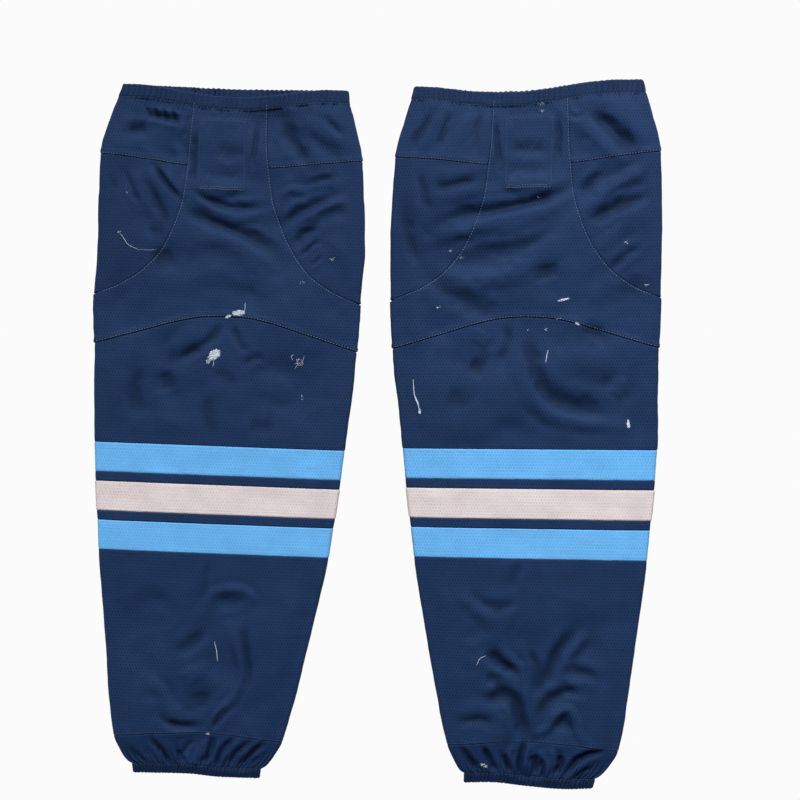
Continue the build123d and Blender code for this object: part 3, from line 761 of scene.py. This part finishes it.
def panel(sock, name, material, left, right, top, bottom, grid=(GRID, GRID), sewn=(1, 1, 1, 1),
          allowance=(0, 0, 0, 0), tucked=(), hem=None, under=0.0, thick=FABRIC):
    """One sewn panel as a thin closed shell.

    left and right are functions of v, top and bottom functions of q and v. sewn and allowance say, for left,
    right, top and bottom, whether the edge is in a seam, and whether the folded edge lies under this panel.
    tucked lists the edges, by the same order, that run on under the next panel, by TUCK past the seam.
    hem is "top" or "bottom" where the cloth turns over an elastic. under is its depth below the surface."""
    q, v = panel_grid(sock, left, right, top, bottom, grid, sewn, hem)
    gaps = edge_gaps(q, v, left, right, top, bottom, tucked)
    relief = seam_relief(sock, q, v, gaps, sewn, allowance, tucked)
    painted_shading = shading(sock, q, v, gaps, sewn)
    depth, flip, endways = np.zeros_like(q), np.ones_like(q), np.zeros_like(q)
    if hem:
        turned, shade = HEMS[hem]
        line = gaps[2] if hem == "top" else gaps[3]
        # painted shade at the hem and in the elastic's gathers; the turned edge gets the hem's painted shade
        # too
        painted_shading = np.maximum(painted_shading, shade * ease((turned + 1.0 - line) / 2.0)) + gather_shading(sock, q, v)
        if hem == "bottom":
            relief -= CUFF_LINE_DEPTH * np.exp(-((line - turned) / 1.3) ** 2)
        at, angle = turned_edge(turned)
        row = 0 if hem == "top" else -1
        hem_q = np.broadcast_to(q[row], (len(at), q.shape[1]))
        hem_v = top(hem_q, v[row]) + at if hem == "top" else bottom(hem_q, v[row]) - at

        def join(turn_rows, body_rows):
            turn_rows = np.broadcast_to(turn_rows, hem_q.shape)
            return np.concatenate([turn_rows, body_rows] if hem == "top" else [body_rows, turn_rows[::-1]])
        depth = join(HEM_TURN * (1 - np.sin(angle)), depth)
        flip, endways = join(np.sin(angle), flip), join(np.cos(angle), endways)
        relief, painted_shading = join(0.0, relief), join(shade, painted_shading)
        q, v = join(hem_q, q), join(hem_v, v)

    normal = sock.normal(q, v)
    outer = sock.place(q, v) + normal * (relief - depth - under)[..., None]
    away = unit(sock.place(q, v + 1.0) - sock.place(q, v - 1.0))
    away = -away if hem == "bottom" else away
    inner = outer + thick * (away * endways[..., None] - normal * flip[..., None])
    vertices = np.concatenate([outer.reshape(-1, 3), inner.reshape(-1, 3)])
    uv = np.stack([q, v], axis=-1).reshape(-1, 2)
    return make_object(name, vertices, shell_faces(*q.shape), material,
                       np.concatenate([uv, uv + INSIDE_SHIFT]) * MM, np.concatenate([painted_shading, painted_shading]))


# ---------------------------------------------------------------- stitches and snags

STITCH_SHAPE = [        # rings of a stitch: shares of its length along it and of its width, and its rise
    (-0.5, 0.15, -0.5),
    (-0.36, 0.8, 0.1),
    (0.0, 1.0, 0.35),
    (0.36, 0.8, 0.1),
    (0.5, 0.15, -0.5),
]
STITCH_SIDES = 6
STITCH_INSET = 1.1      # from a seam to its topstitching
RAISED = 0.62           # lift of the stitches that lie over a folded seam allowance
PATCH_INSET = 2.4       # from a loop patch's edge to its stitches
FIBRE_SIDES = 4
PAD_RINGS = 7
PAD_SPOKES = 36


def thread_frames(points, at, ups):
    """Where the stitches at these distances along a line are, and their three directions."""
    run = np.concatenate([[0], np.cumsum(np.linalg.norm(np.diff(points, axis=0), axis=1))])

    def sample(values, distances):
        return np.stack([np.interp(distances, run, values[:, k]) for k in range(3)], axis=1)
    along = unit(sample(points, at + 0.6) - sample(points, at - 0.6))
    up = sample(ups, at)
    up = unit(up - along * np.sum(up * along, axis=1, keepdims=True))
    return sample(points, at), along, np.cross(up, along), up


def stitch_faces(n, first):
    """Faces of n stitches, whose vertices are stored by ring, side and stitch from the first on."""
    own = first + np.arange(n)
    last = (len(STITCH_SHAPE) - 1) * STITCH_SIDES
    faces = []
    for ring in range(0, last, STITCH_SIDES):
        for k in range(STITCH_SIDES):
            a, b = ring + k, ring + (k + 1) % STITCH_SIDES
            corners = (a, b, b + STITCH_SIDES, a + STITCH_SIDES)
            faces += np.stack([own + i * n for i in corners], axis=1).tolist()
    for cap in (range(STITCH_SIDES)[::-1], range(last, last + STITCH_SIDES)):
        faces += np.stack([own + i * n for i in cap], axis=1).tolist()
    return faces


def stitch_rows(sock, rows, length=1.7, pitch=3.2, width=0.58, lift=0.16):
    """Vertices and faces of stitches that follow lines of places (q, v) on the sock."""
    vertices, faces, count = [], [], 0
    for places in rows:
        line, _ = smooth_line(places, 160)
        points = sock.place(line[:, 0], line[:, 1])
        total = np.linalg.norm(np.diff(points, axis=0), axis=1).sum()
        at = (np.arange(int(total / pitch)) + 0.5) * pitch
        here, along, sideways, up = thread_frames(points, at, sock.normal(line[:, 0], line[:, 1]))
        here = here + up * (lift + 0.12 * noise(at * 0.9, 0.5, sock.seed)[:, None])
        for stretch, fat, high in STITCH_SHAPE:
            for k in range(STITCH_SIDES):
                a = 2 * math.pi * k / STITCH_SIDES
                r = width / 2 * fat
                vertices.append(here + along * (stretch * length) + sideways * (r * math.cos(a))
                                + up * (r * math.sin(a) * 0.8 + high * 0.35))
        faces += stitch_faces(len(at), count)
        count += len(at) * len(STITCH_SHAPE) * STITCH_SIDES
    return np.concatenate(vertices), faces


def fibre(points, radius):
    """A thin tapered tube through points."""
    ahead = unit(np.gradient(points, axis=0))
    sideways = unit(np.cross(ahead, (0.0, 0.0, 1.0)))
    up = np.cross(sideways, ahead)
    taper = radius * (0.35 + 0.65 * np.sin(np.linspace(0.15, math.pi - 0.15, len(points))))[:, None]
    rings = [points + taper * (sideways * math.cos(a) + up * math.sin(a))
             for a in np.arange(FIBRE_SIDES) * 2 * math.pi / FIBRE_SIDES]
    vertices = np.stack(rings, axis=1).reshape(-1, 3)
    faces = []
    for i in range(0, len(vertices) - FIBRE_SIDES, FIBRE_SIDES):
        for k in range(FIBRE_SIDES):
            a, b = i + k, i + (k + 1) % FIBRE_SIDES
            faces.append((a, a + FIBRE_SIDES, b + FIBRE_SIDES, b))
    faces.append(tuple(range(FIBRE_SIDES)))
    faces.append(tuple(range(len(vertices) - 1, len(vertices) - FIBRE_SIDES - 1, -1)))
    return vertices, faces


def matted(sock, u, v, long, wide, turn, draw):
    """A low, ragged pad of broken fibres: a dome over an uneven ellipse, closed underneath."""
    around = np.arange(PAD_SPOKES)
    ragged = (1 + 0.20 * draw.uniform(-1, 1, PAD_SPOKES)
              + 0.12 * np.sin(around * 2.1 + draw.uniform(0, 6)))
    angle = around * 2 * math.pi / PAD_SPOKES
    share = np.linspace(0.0, 1.0, PAD_RINGS)[1:, None]
    a = long / 2 * share * ragged * np.cos(angle)
    b = wide / 2 * share * ragged * np.sin(angle)
    q = np.concatenate([[u], (u + a * math.cos(turn) + b * math.sin(turn)).ravel()])
    down = np.concatenate([[v], (v - a * math.sin(turn) + b * math.cos(turn)).ravel()])
    high = np.concatenate([[1.0], np.broadcast_to(1 - share ** 3, a.shape).ravel()])
    high = 0.1 + 0.9 * high * (0.6 + 0.4 * noise(q / 1.6, down / 1.6, sock.seed))
    top = sock.place(q, down) + sock.normal(q, down) * high[:, None]
    below = sock.place(np.array([u]), np.array([v]))
    neighbours = list(zip(around, np.roll(around, -1)))
    faces = [(0, 1 + i, 1 + j) for i, j in neighbours]
    for ring in range(PAD_RINGS - 2):
        start, end = 1 + ring * PAD_SPOKES, 1 + (ring + 1) * PAD_SPOKES
        faces += [(start + i, end + i, end + j, start + j) for i, j in neighbours]
    last = 1 + (PAD_RINGS - 2) * PAD_SPOKES
    faces += [(last + i, len(top), last + j) for i, j in neighbours]
    return np.concatenate([top, below]), faces


def loose_fibre(sock, kind, u, v, long, wide, turn, draw):
    """One short bent fibre somewhere in a tuft or in fuzz."""
    around, out = draw.uniform(0, 2 * math.pi), math.sqrt(draw.uniform(0.02, 1.0))
    a, b = 0.46 * long * out * math.cos(around), 0.46 * wide * out * math.sin(around)
    heading = turn + draw.normal(0, 0.9)
    size = draw.uniform(1.4, 3.6)
    bend = draw.uniform(-0.8, 0.8)
    t = np.linspace(-0.5, 0.5, 6)
    sag = bend * t * t * 0.6
    q = u + a * math.cos(turn) + b * math.sin(turn) + size * (t * math.cos(heading) + sag)
    down = v - a * math.sin(turn) + b * math.cos(turn) - size * (t * math.sin(heading) + sag)
    high = 0.25 + (draw.uniform(0.3, 1.0) if kind == "tuft" else 0.3) * (1 - 4 * t * t)
    lifted = sock.place(q, down) + sock.normal(q, down) * high[:, None]
    return fibre(lifted, draw.uniform(0.12, 0.24) * (1.0 if kind == "tuft" else 0.75))


def pulled_thread(sock, radius, places):
    """A loose yarn that lies on the cloth through these places."""
    line, _ = smooth_line(places, 26)
    wander = [noise(line[:, 0] / 2, line[:, 1] / 2, 5), noise(line[:, 0] / 2, 9, 6)]
    line = line + 0.3 * np.stack(wander, 1)
    lifted = sock.place(line[:, 0], line[:, 1]) + sock.normal(line[:, 0], line[:, 1]) * 0.25
    return fibre(lifted, radius)


def snags(sock, name, material, marks):
    """Pulled threads and tufts of broken white fibre."""
    draw = np.random.default_rng(sock.seed)
    parts = []
    for kind, *mark in marks:
        if kind == "thread":
            parts.append(pulled_thread(sock, *mark))
            continue
        u, v, long, wide, tilt, amount = mark
        turn = math.radians(tilt)
        if kind == "tuft":
            parts.append(matted(sock, u, v, long, wide, turn, draw))
        parts += [loose_fibre(sock, kind, u, v, long, wide, turn, draw) for _ in range(amount)]
    faces, count = [], 0
    for own_vertices, own_faces in parts:
        faces += [tuple(int(i) + count for i in face) for face in own_faces]
        count += len(own_vertices)
    return make_object(name, np.concatenate([own_vertices for own_vertices, _ in parts]), faces, material)


# ---------------------------------------------------------------- materials

class Nodes:
    """A short way to build a node tree."""

    def __init__(self, name):
        self.material = bpy.data.materials.new(name)
        self.material.use_nodes = True
        self.tree = self.material.node_tree
        self.tree.nodes.clear()

    def give(self, socket, value):
        if isinstance(value, bpy.types.NodeSocket):
            self.tree.links.new(value, socket)
        else:
            socket.default_value = value

    def add(self, kind, inputs, **settings):
        node = self.tree.nodes.new(kind)
        for key, value in settings.items():
            setattr(node, key, value)
        for key, value in inputs.items():
            self.give(node.inputs[key], value)
        return node

    def cut(self):
        return self.add("ShaderNodeUVMap", {}, uv_map="cut").outputs["UV"]

    def parts(self, where):
        node = self.add("ShaderNodeSeparateXYZ", {0: where})
        return node.outputs["X"], node.outputs["Y"]

    def maths(self, operation, a, b=0.0):
        return self.add("ShaderNodeMath", {0: a, 1: b}, operation=operation).outputs[0]

    def wave(self, kind, value, pitch):
        return self.maths(kind, self.maths("MULTIPLY", value, 2 * math.pi / pitch))

    def grains(self, where, scale, detail=2.0, rough=0.5):
        return self.add("ShaderNodeTexNoise", {"Vector": where, "Scale": scale, "Detail": detail,
                                               "Roughness": rough}).outputs["Fac"]

    def span(self, value, low, high, to_low=0.0, to_high=1.0):
        return self.add("ShaderNodeMapRange", {"Value": value, "From Min": low, "From Max": high,
                                               "To Min": to_low, "To Max": to_high}).outputs["Result"]

    def mix(self, share, a, b, blend="MIX"):
        node = self.add("ShaderNodeMix", {}, data_type="RGBA", blend_type=blend)
        for index, value in ((0, share), (6, a), (7, b)):
            self.give(node.inputs[index], value)
        return node.outputs[2]

    def bump(self, height, strength, distance):
        return self.add("ShaderNodeBump", {"Height": height, "Strength": strength,
                                           "Distance": distance}).outputs[0]

    def finish(self, **inputs):
        named = {key.replace("_", " "): value for key, value in inputs.items()}
        bsdf = self.add("ShaderNodeBsdfPrincipled", named)
        self.add("ShaderNodeOutputMaterial", {0: bsdf.outputs[0]})
        return self.material


def rgba(colour, factor=1.0):
    return (colour[0] * factor, colour[1] * factor, colour[2] * factor, 1.0)


EYELETS = (0.0032, 0.0068)      # pitch of the knit's eyelets across and down, in metres
STAIN = (0.50, 0.40, 0.33)


def knit(name, colour, hole_tint, hole_share, yarn_light, soil=0.0):
    """Knitted polyester mesh: small eyelets between raised loops, on a fuzzy, slightly uneven yarn."""
    n = Nodes(name)
    uv = n.cut()
    x, y = n.parts(uv)
    warp = n.maths("SUBTRACT", n.grains(uv, 260.0, 1.0), 0.5)
    across = n.maths("ADD", x, n.maths("MULTIPLY", warp, 0.0007))
    down = n.maths("ADD", y, n.maths("MULTIPLY", warp, 0.0006))
    lattice = n.maths("MULTIPLY", n.wave("COSINE", across, EYELETS[0]), n.wave("COSINE", down, EYELETS[1]))
    holes = n.span(lattice, 0.20, 0.85)
    loops = n.maths("MULTIPLY", n.wave("SINE", across, 0.0008), n.wave("SINE", down, 0.0007))
    fuzz = n.grains(uv, 1500.0, 2.0, 0.7)
    patchy = n.grains(uv, 24.0, 4.0, 0.6)
    rows = n.grains(n.add("ShaderNodeMapping", {0: uv, 3: (14.0, 300.0, 1.0)}).outputs[0], 1.0, 2.0)

    tone = n.mix(n.span(patchy, 0.3, 0.7), rgba(colour, 0.86), rgba(colour, 1.12))
    tone = n.mix(n.span(rows, 0.35, 0.65, 0.0, 0.35), tone, rgba(colour, 0.78))
    tone = n.mix(n.span(fuzz, 0.3, 0.75, 0.0, 0.70), tone, rgba(yarn_light))
    tone = n.mix(n.maths("MULTIPLY", holes, hole_share), tone, rgba(hole_tint))
    # painted shade: the mesh's painted_shading attribute darkens the knit's colour
    painted_shading = n.add("ShaderNodeAttribute", {}, attribute_name="painted_shading").outputs["Fac"]
    tone = n.mix(1.0, tone, n.maths("SUBTRACT", 1.0, n.maths("MULTIPLY", painted_shading, PAINTED_SHADE_STRENGTH)), "MULTIPLY")
    if soil:
        stain = n.span(n.grains(uv, 9.0, 5.0, 0.65), 0.5, 0.72)
        tone = n.mix(n.maths("MULTIPLY", stain, soil), tone, rgba(STAIN))
    height = n.maths("ADD", n.maths("MULTIPLY", holes, -1.0), n.maths("MULTIPLY", loops, 0.22))
    height = n.maths("ADD", height, n.maths("MULTIPLY", fuzz, 0.5))
    return n.finish(Base_Color=tone, Roughness=n.span(fuzz, 0.2, 0.8, 0.38, 0.54),
                    Normal=n.bump(height, 0.55, 0.00035), Specular_IOR_Level=0.05, Sheen_Weight=0.02,
                    Sheen_Roughness=0.45, Sheen_Tint=(0.6, 0.7, 1.0, 1.0))


def ribbed(name, colour, light):
    """Woven elastic: fine ribs of covered rubber."""
    n = Nodes(name)
    uv = n.cut()
    x, y = n.parts(uv)
    weave = n.maths("ADD", n.wave("SINE", y, 0.0011), n.maths("MULTIPLY", n.wave("SINE", x, 0.0007), 0.5))
    fuzz = n.grains(uv, 1700.0, 2.0)
    tone = n.mix(n.span(n.maths("ADD", weave, fuzz), -1.0, 1.6), rgba(colour), rgba(light))
    return n.finish(Base_Color=tone, Roughness=0.72, Normal=n.bump(weave, 0.6, 0.0003),
                    Specular_IOR_Level=0.35)


def looped(name, colour, light):
    """Loop tape: a brushed pile of fine loops."""
    n = Nodes(name)
    uv = n.cut()
    pile = n.add("ShaderNodeTexVoronoi", {"Vector": uv, "Scale": 1100.0}).outputs["Distance"]
    brushed = n.maths("ADD", pile, n.grains(uv, 420.0, 3.0, 0.7))
    tone = n.mix(n.span(brushed, 0.4, 1.3), rgba(colour), rgba(light))
    return n.finish(Base_Color=tone, Roughness=0.9, Normal=n.bump(brushed, 0.7, 0.0005), Sheen_Weight=0.4,
                    Sheen_Roughness=0.5)


def thread(name, colour, light):
    """Twisted sewing thread, or frayed yarn."""
    n = Nodes(name)
    where = n.add("ShaderNodeTexCoord", {}).outputs["Object"]
    ply = n.add("ShaderNodeTexWave", {"Vector": where, "Scale": 0.32 / 0.0009, "Distortion": 2.0},
                bands_direction="DIAGONAL").outputs["Fac"]
    fleck = n.grains(where, 900.0, 2.0)
    tone = n.mix(n.maths("MULTIPLY", ply, fleck), rgba(colour), rgba(light))
    return n.finish(Base_Color=tone, Roughness=0.6, Normal=n.bump(ply, 0.5, 0.00015), Specular_IOR_Level=0.4,
                    Sheen_Weight=0.2)


NAVY = knit("navy_knit", (0.0117, 0.0306, 0.089), (0.0026, 0.0072, 0.024), 0.62, (0.0180, 0.0440, 0.117))
# the gussets' knit is a little darker than NAVY: partly its own tone, partly painted shade
GUSSET_NAVY = knit("navy_gusset_knit", (0.0106, 0.0278, 0.083), (0.0025, 0.0068, 0.023), 0.62,
                   (0.0150, 0.0382, 0.105))
HEM_NAVY = knit("navy_cuff_knit", (0.0080, 0.0235, 0.075), (0.0028, 0.0070, 0.024), 0.50,
                (0.0122, 0.0325, 0.094))
BLUE = knit("light_blue_knit", (0.128, 0.430, 0.83), (0.062, 0.260, 0.60), 0.50, (0.170, 0.47, 0.85))
CREAM = knit("cream_knit", (0.685, 0.605, 0.605), (0.49, 0.425, 0.420), 0.45, (0.73, 0.655, 0.655), soil=0.10)
ELASTIC = ribbed("woven_elastic", (0.16, 0.17, 0.19), (0.42, 0.43, 0.45))
LOOP = looped("loop_tape", (0.010, 0.016, 0.034), (0.035, 0.050, 0.090))
THREAD = thread("pale_sewing_thread", (0.09, 0.145, 0.25), (0.21, 0.30, 0.43))
NAVY_THREAD = thread("navy_sewing_thread", (0.020, 0.046, 0.12), (0.050, 0.092, 0.195))
SNAG = thread("frayed_yarn", (0.52, 0.60, 0.70), (0.82, 0.86, 0.90))
STRIPES = [
    ("upper_blue_stripe", BLUE, STRIPE, "light_blue_knit"),
    ("upper_spacer", NAVY, SPACER, "navy_knit"),
    ("cream_stripe", CREAM, STRIPE, "cream_knit"),
    ("lower_spacer", NAVY, SPACER, "navy_knit"),
    ("lower_blue_stripe", BLUE, STRIPE, "light_blue_knit"),
]


# ---------------------------------------------------------------- the pieces of a sock

def sheet(sock, node, cloth, body):
    """Hides the part that a cloth replaces, and puts the cloth on the body that it rides, if any."""
    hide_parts(f"{sock.side}_{node}")
    if body:
        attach(cloth, body)


def centre_panels(sock):
    """The front's and the back's centre panels, between two curved seams and above the knee seam."""
    knee = mirrored(sock, knee_seam)
    cloth = panel(sock, f"{sock.side}_front_centre_panel_cloth", NAVY, lambda v: -sock.seam(v, -1),
                  lambda v: sock.seam(v, 1), sock.mouth, knee, grid=(FINE_GRID, GRID), sewn=AT_KNEE,
                  allowance=OVER_SEAM, hem="top")
    sheet(sock, "front_centre_panel", cloth, sock.upper)
    cloth = panel(sock, f"{sock.side}_back_centre_panel_cloth", NAVY,
                  lambda v: 2.0 * sock.around(v) - sock.seam(v, 1),
                  lambda v: 2.0 * sock.around(v) + sock.seam(v, -1), sock.mouth, knee,
                  grid=(FINE_GRID, GRID), sewn=AT_KNEE, hem="top")
    sheet(sock, "back_centre_panel", cloth, sock.upper)


def side_pieces(sock, which, hand):
    """One side's panel and gusset, which wrap round its side fold. hand is 1 on the right, -1 on the left."""
    def near(v, tuck=0.0):
        slope = np.sqrt(1 + (sock.seam(v + 0.5, hand) - sock.seam(v - 0.5, hand)) ** 2)
        return hand * (sock.seam(v, hand) - tuck * slope)

    def far(v, tuck=0.0):
        return hand * 2.0 * sock.around(v) - near(v, tuck)
    start, end = (near, far) if hand > 0 else (far, near)
    side_line = mirrored(sock, side_seam)
    cloth = panel(sock, f"{sock.side}_{which}_side_panel_cloth", NAVY, start, end, sock.mouth, side_line,
                  grid=(FINE_GRID, GRID), sewn=AT_SIDE, allowance=OVER_SEAM, hem="top")
    sheet(sock, f"{which}_side_panel", cloth, sock.upper)
    cloth = panel(sock, f"{sock.side}_{which}_gusset_cloth", GUSSET_NAVY, lambda v: start(v, TUCK),
                  lambda v: end(v, TUCK), side_line, level(sock.seam_end(hand) + TUCK), grid=(1.5, 1.5),
                  sewn=(1, 1, 1, 0), tucked=(0, 1, 3))
    sheet(sock, f"{which}_gusset", cloth, sock.upper)


def ring(sock, node, material, top, bottom, flat, body, area=None, slot="navy_knit", **options):
    """A ring of knit, closed by a seam down the back."""
    cloth = panel(sock, f"{sock.side}_{node}_cloth", material, *whole_turn(sock), top, bottom, **options)
    sheet(sock, node, cloth, body)
    return cloth


def rings(sock):
    """The knee panel, the stripes, the calf panel and the cuff."""
    knee = ring(sock, "knee_panel", NAVY, mirrored(sock, knee_seam), level(STRIPES_TOP), (0.570, 0.143),
                None, 0.0740)
    v, stripes = STRIPES_TOP, []
    for node, material, height, slot in STRIPES:
        flat = (round(4 * float(sock.width(v + height / 2)) * MM, 3), height * MM)
        body = sock.lower if stripes else None
        stripes.append(ring(sock, node, material, level(v), level(v + height), flat, body, slot=slot))
        v += height
    cuff_top = mirrored(sock, cuff_seam)
    ring(sock, "calf_panel", NAVY, level(v), cuff_top, (0.510, 0.205), sock.lower, 0.0890)
    ring(sock, "ankle_cuff", HEM_NAVY, cuff_top, level(LENGTH), (0.400, 0.060), sock.lower, 0.0210,
         grid=(0.7, 1.0), hem="bottom", sewn=(1, 1, 1, 0))
    bend(sock, knee)
    bend(sock, stripes[0])


def bend(sock, cloth):
    """Bakes the transform of a piece that lies across the fold into its mesh."""
    axis = sock.joint["axis"]
    down = np.array([axis[1], -axis[0], 0.0])
    down = -down if down[1] > 0 else down
    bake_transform(cloth)


def elastics(sock):
    """The two elastics, inside the turned hems."""
    inside = dict(sewn=(0, 0, 0, 0), under=FABRIC + 0.25, thick=0.8)
    cloth = panel(sock, f"{sock.side}_waist_elastic_band", ELASTIC, *whole_turn(sock),
                  lambda q, v: sock.mouth(q, v) + HEM_TURN,
                  lambda q, v: sock.mouth(q, v) + WAIST_HEM - 0.8, grid=(1.1, 1.5), **inside)
    sheet(sock, "waist_elastic", cloth, sock.upper)
    cloth = panel(sock, f"{sock.side}_ankle_elastic_band", ELASTIC, *whole_turn(sock),
                  level(ANKLE_HEM + 1.2), level(LENGTH - HEM_TURN), grid=(1.0, 1.2), **inside)
    sheet(sock, "ankle_elastic", cloth, sock.lower)


def on_patch(sock, turn, u, v):
    """The place u to one side of a loop patch's middle. turn is 0 for the front's and 2 for the back's."""
    return turn * sock.around(v) + (1 - turn) * sock.lay["patch_shift"] + u


def loop_patch(sock, face, turn):
    cloth = panel(sock, f"{sock.side}_{face}_loop_patch_tape", LOOP,
                  lambda v: on_patch(sock, turn, -PATCH_HALF_WIDTH, v),
                  lambda v: on_patch(sock, turn, PATCH_HALF_WIDTH, v), level(PATCH_TOP),
                  level(PATCH_BOTTOM), sewn=(0, 0, 0, 0), under=FABRIC + 0.05, thick=1.4)
    sheet(sock, f"{face}_loop_patch", cloth, sock.upper)


def stitched(sock, name, rows, body, material=THREAD, node=None, **shape):
    """One object of stitches along rows of places on the sock."""
    vertices, faces = stitch_rows(sock, rows, **shape)
    obj = make_object(f"{sock.side}_{name}", vertices, faces, material)
    if node:
        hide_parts(f"{sock.side}_{node}")
    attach(obj, body)


def beside(sock, m, v, hand, behind):
    """The place m from the middle of the front or the back, on the right (hand 1) or on the left (-1)."""
    side_at = float(sock.around(v))
    m = min(float(m), side_at)
    return hand * (2 * side_at - m if behind else m), float(v)


def seam_stitches(sock):
    """Topstitching beside the centre panels' seams, and on the raised cloth over the side and knee seams."""
    downs = np.concatenate([np.linspace(19, 200, 18), np.linspace(206, 231, 10)])
    rows, raised = [], []
    for behind in (False, True):
        for hand in (-1, 1):
            row = []
            for v in downs:
                if sock.seam(v, hand) < sock.around(v) - 5:
                    inset = STITCH_INSET * math.sqrt(1 + float(centre_seam(v + 1) - centre_seam(v)) ** 2)
                    row.append(beside(sock, sock.seam(v, hand) - inset, v, hand, behind))
            rows.append(row)
            first = 47 + hand * sock.lay["panel_shift"]
            raised.append([beside(sock, u, side_seam(u) - STITCH_INSET, hand, behind)
                           for u in np.linspace(first, 144, 9)])
            raised.append([beside(sock, u, knee_seam(u) - 1.5 * STITCH_INSET, hand, behind)
                           for u in np.linspace(1, 146, 14)])
    stitched(sock, "seam_stitches", rows, sock.upper, node="seam_stitching")
    stitched(sock, "raised_seam_stitches", raised, sock.upper, node="seam_stitching", lift=RAISED)


def patch_stitches(sock):
    """A box with a cross on each loop patch, and two bolder rows at its foot."""
    wide, top, bottom = PATCH_HALF_WIDTH - PATCH_INSET, PATCH_TOP + PATCH_INSET, PATCH_BOTTOM - PATCH_INSET
    corners = [(-wide, top), (wide, top), (wide, bottom), (-wide, bottom), (-wide, top)]
    sides = list(zip(corners, corners[1:])) + [(corners[0], corners[2]), (corners[1], corners[3])]
    box = [[(u0 + (u1 - u0) * t, v0 + (v1 - v0) * t) for t in np.linspace(0, 1, 7)]
           for (u0, v0), (u1, v1) in sides]
    foot = [[(wide * reach * t, bottom - rise + 0.35 * math.sin(9 * t)) for t in np.linspace(-1, 1, 13)]
            for rise, reach in ((0.4, 1.0), (2.6, 0.92))]

    def on_both(rows):
        return [[(on_patch(sock, turn, u, v), v) for u, v in row] for turn in (0.0, 2.0) for row in rows]
    stitched(sock, "patch_stitches", on_both(box), sock.upper, NAVY_THREAD, "patch_stitching", pitch=3.0,
             width=0.42)
    stitched(sock, "patch_bottom_stitches", on_both(foot), sock.upper, THREAD, "patch_stitching",
             length=1.5, pitch=2.9, width=0.62)


def quarters(count):
    """Four runs of places round the tube, in shares of the way from the front's middle to a side fold."""
    return [np.linspace(start + 0.01, start + 0.99, count) for start in (-2.0, -1.0, 0.0, 1.0)]


def hem_stitches(sock):
    """The rows that hold the elastics, and the one along the cuff's seam."""
    rows = [[(q, float(sock.mouth(q, 18.0)) + BAND_LINE) for q in shares * sock.around(20.0)]
            for shares in quarters(24)]
    stitched(sock, "waist_hem_stitches", rows, sock.upper, NAVY_THREAD, length=1.8, pitch=3.0, width=0.5)
    rows = []
    seam, seam_middle, ankle = mirrored(sock, cuff_seam), (CUFF_TOP + CUFF_EDGE) / 2, ANKLE_HEM - 0.5
    for shares in quarters(20):
        rows.append([(q, float(seam(q, seam_middle)) - 1.8) for q in shares * sock.around(seam_middle)])
        rows.append([(q, ankle) for q in shares * sock.around(ankle)])
    stitched(sock, "cuff_stitches", rows, sock.lower, NAVY_THREAD, length=1.8, pitch=2.9, width=0.5)


def broken_yarn(sock):
    """The snags above and below the fold, each half's on its own body."""
    def below_fold(mark):
        return (mark[2][0][1] if mark[0] == "thread" else mark[2]) > STRIPES_TOP
    for body, below in ((sock.upper, False), (sock.lower, True)):
        marks = [mark for mark in sock.lay["snags"] if below_fold(mark) == below]
        obj = snags(sock, f"{body}_snags", SNAG, marks)
        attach(obj, body)


def build_sock(side):
    sock = Sock(side)
    outward = sock.lay["outward"]
    centre_panels(sock)
    side_pieces(sock, "outer", outward)
    side_pieces(sock, "inner", -outward)
    rings(sock)
    elastics(sock)
    loop_patch(sock, "front", 0.0)
    loop_patch(sock, "back", 2.0)
    seam_stitches(sock)
    patch_stitches(sock)
    hem_stitches(sock)
    broken_yarn(sock)


# ---------------------------------------------------------------- stage, lights and camera

def add_object(name, data, location, towards=None):
    """Puts a light or a camera in the scene, turned to look along a direction."""
    obj = bpy.data.objects.new(name, data)
    obj.location = location
    if towards is not None:
        obj.rotation_euler = Vector(towards).to_track_quat("-Z", "Y").to_euler()
    bpy.context.scene.collection.objects.link(obj)
    return obj


def stage():
    bpy.ops.mesh.primitive_plane_add(size=8.0, location=(0, 0, -FLOOR_DROP))
    floor = bpy.context.object
    floor.name = "floor"
    floor.data.materials.append(Nodes("pale_floor").finish(
        Base_Color=(0.0, 0.0, 0.0, 1.0), Roughness=1.0, Specular_IOR_Level=0.0,
        Emission_Color=(FLOOR_GLOW, FLOOR_GLOW, FLOOR_GLOW, 1.0), Emission_Strength=1.0))

    world = bpy.data.worlds.new("studio")
    bpy.context.scene.world = world
    world.use_nodes = True
    background = world.node_tree.nodes["Background"]
    background.inputs[0].default_value = (1.0, 1.0, 1.0, 1.0)
    background.inputs[1].default_value = WORLD_LIGHT


def lights():
    for name, direction, spread, power in LIGHTS:
        light = bpy.data.lights.new(name, "SUN")
        light.angle = math.radians(spread)
        light.energy = power
        add_object(name, light, -Vector(direction), direction)
    light = bpy.data.lights.new("window", "AREA")
    light.size = WINDOW["size"]
    light.energy = WINDOW["power"]
    add_object("window", light, WINDOW["location"], Vector(WINDOW["towards"]) - Vector(WINDOW["location"]))


def camera():
    data = bpy.data.cameras.new("camera")
    data.lens = LENS
    data.sensor_width = SENSOR
    distance = FIELD * LENS / SENSOR
    location = (VIEW_CENTRE[0], VIEW_CENTRE[1], distance + CLOTH_MIDDLE)
    bpy.context.scene.camera = add_object("camera", data, location)


camera()
for side in LAYS:
    build_sock(side)
stage()
lights()
bpy.context.scene.view_settings.view_transform = "Standard"
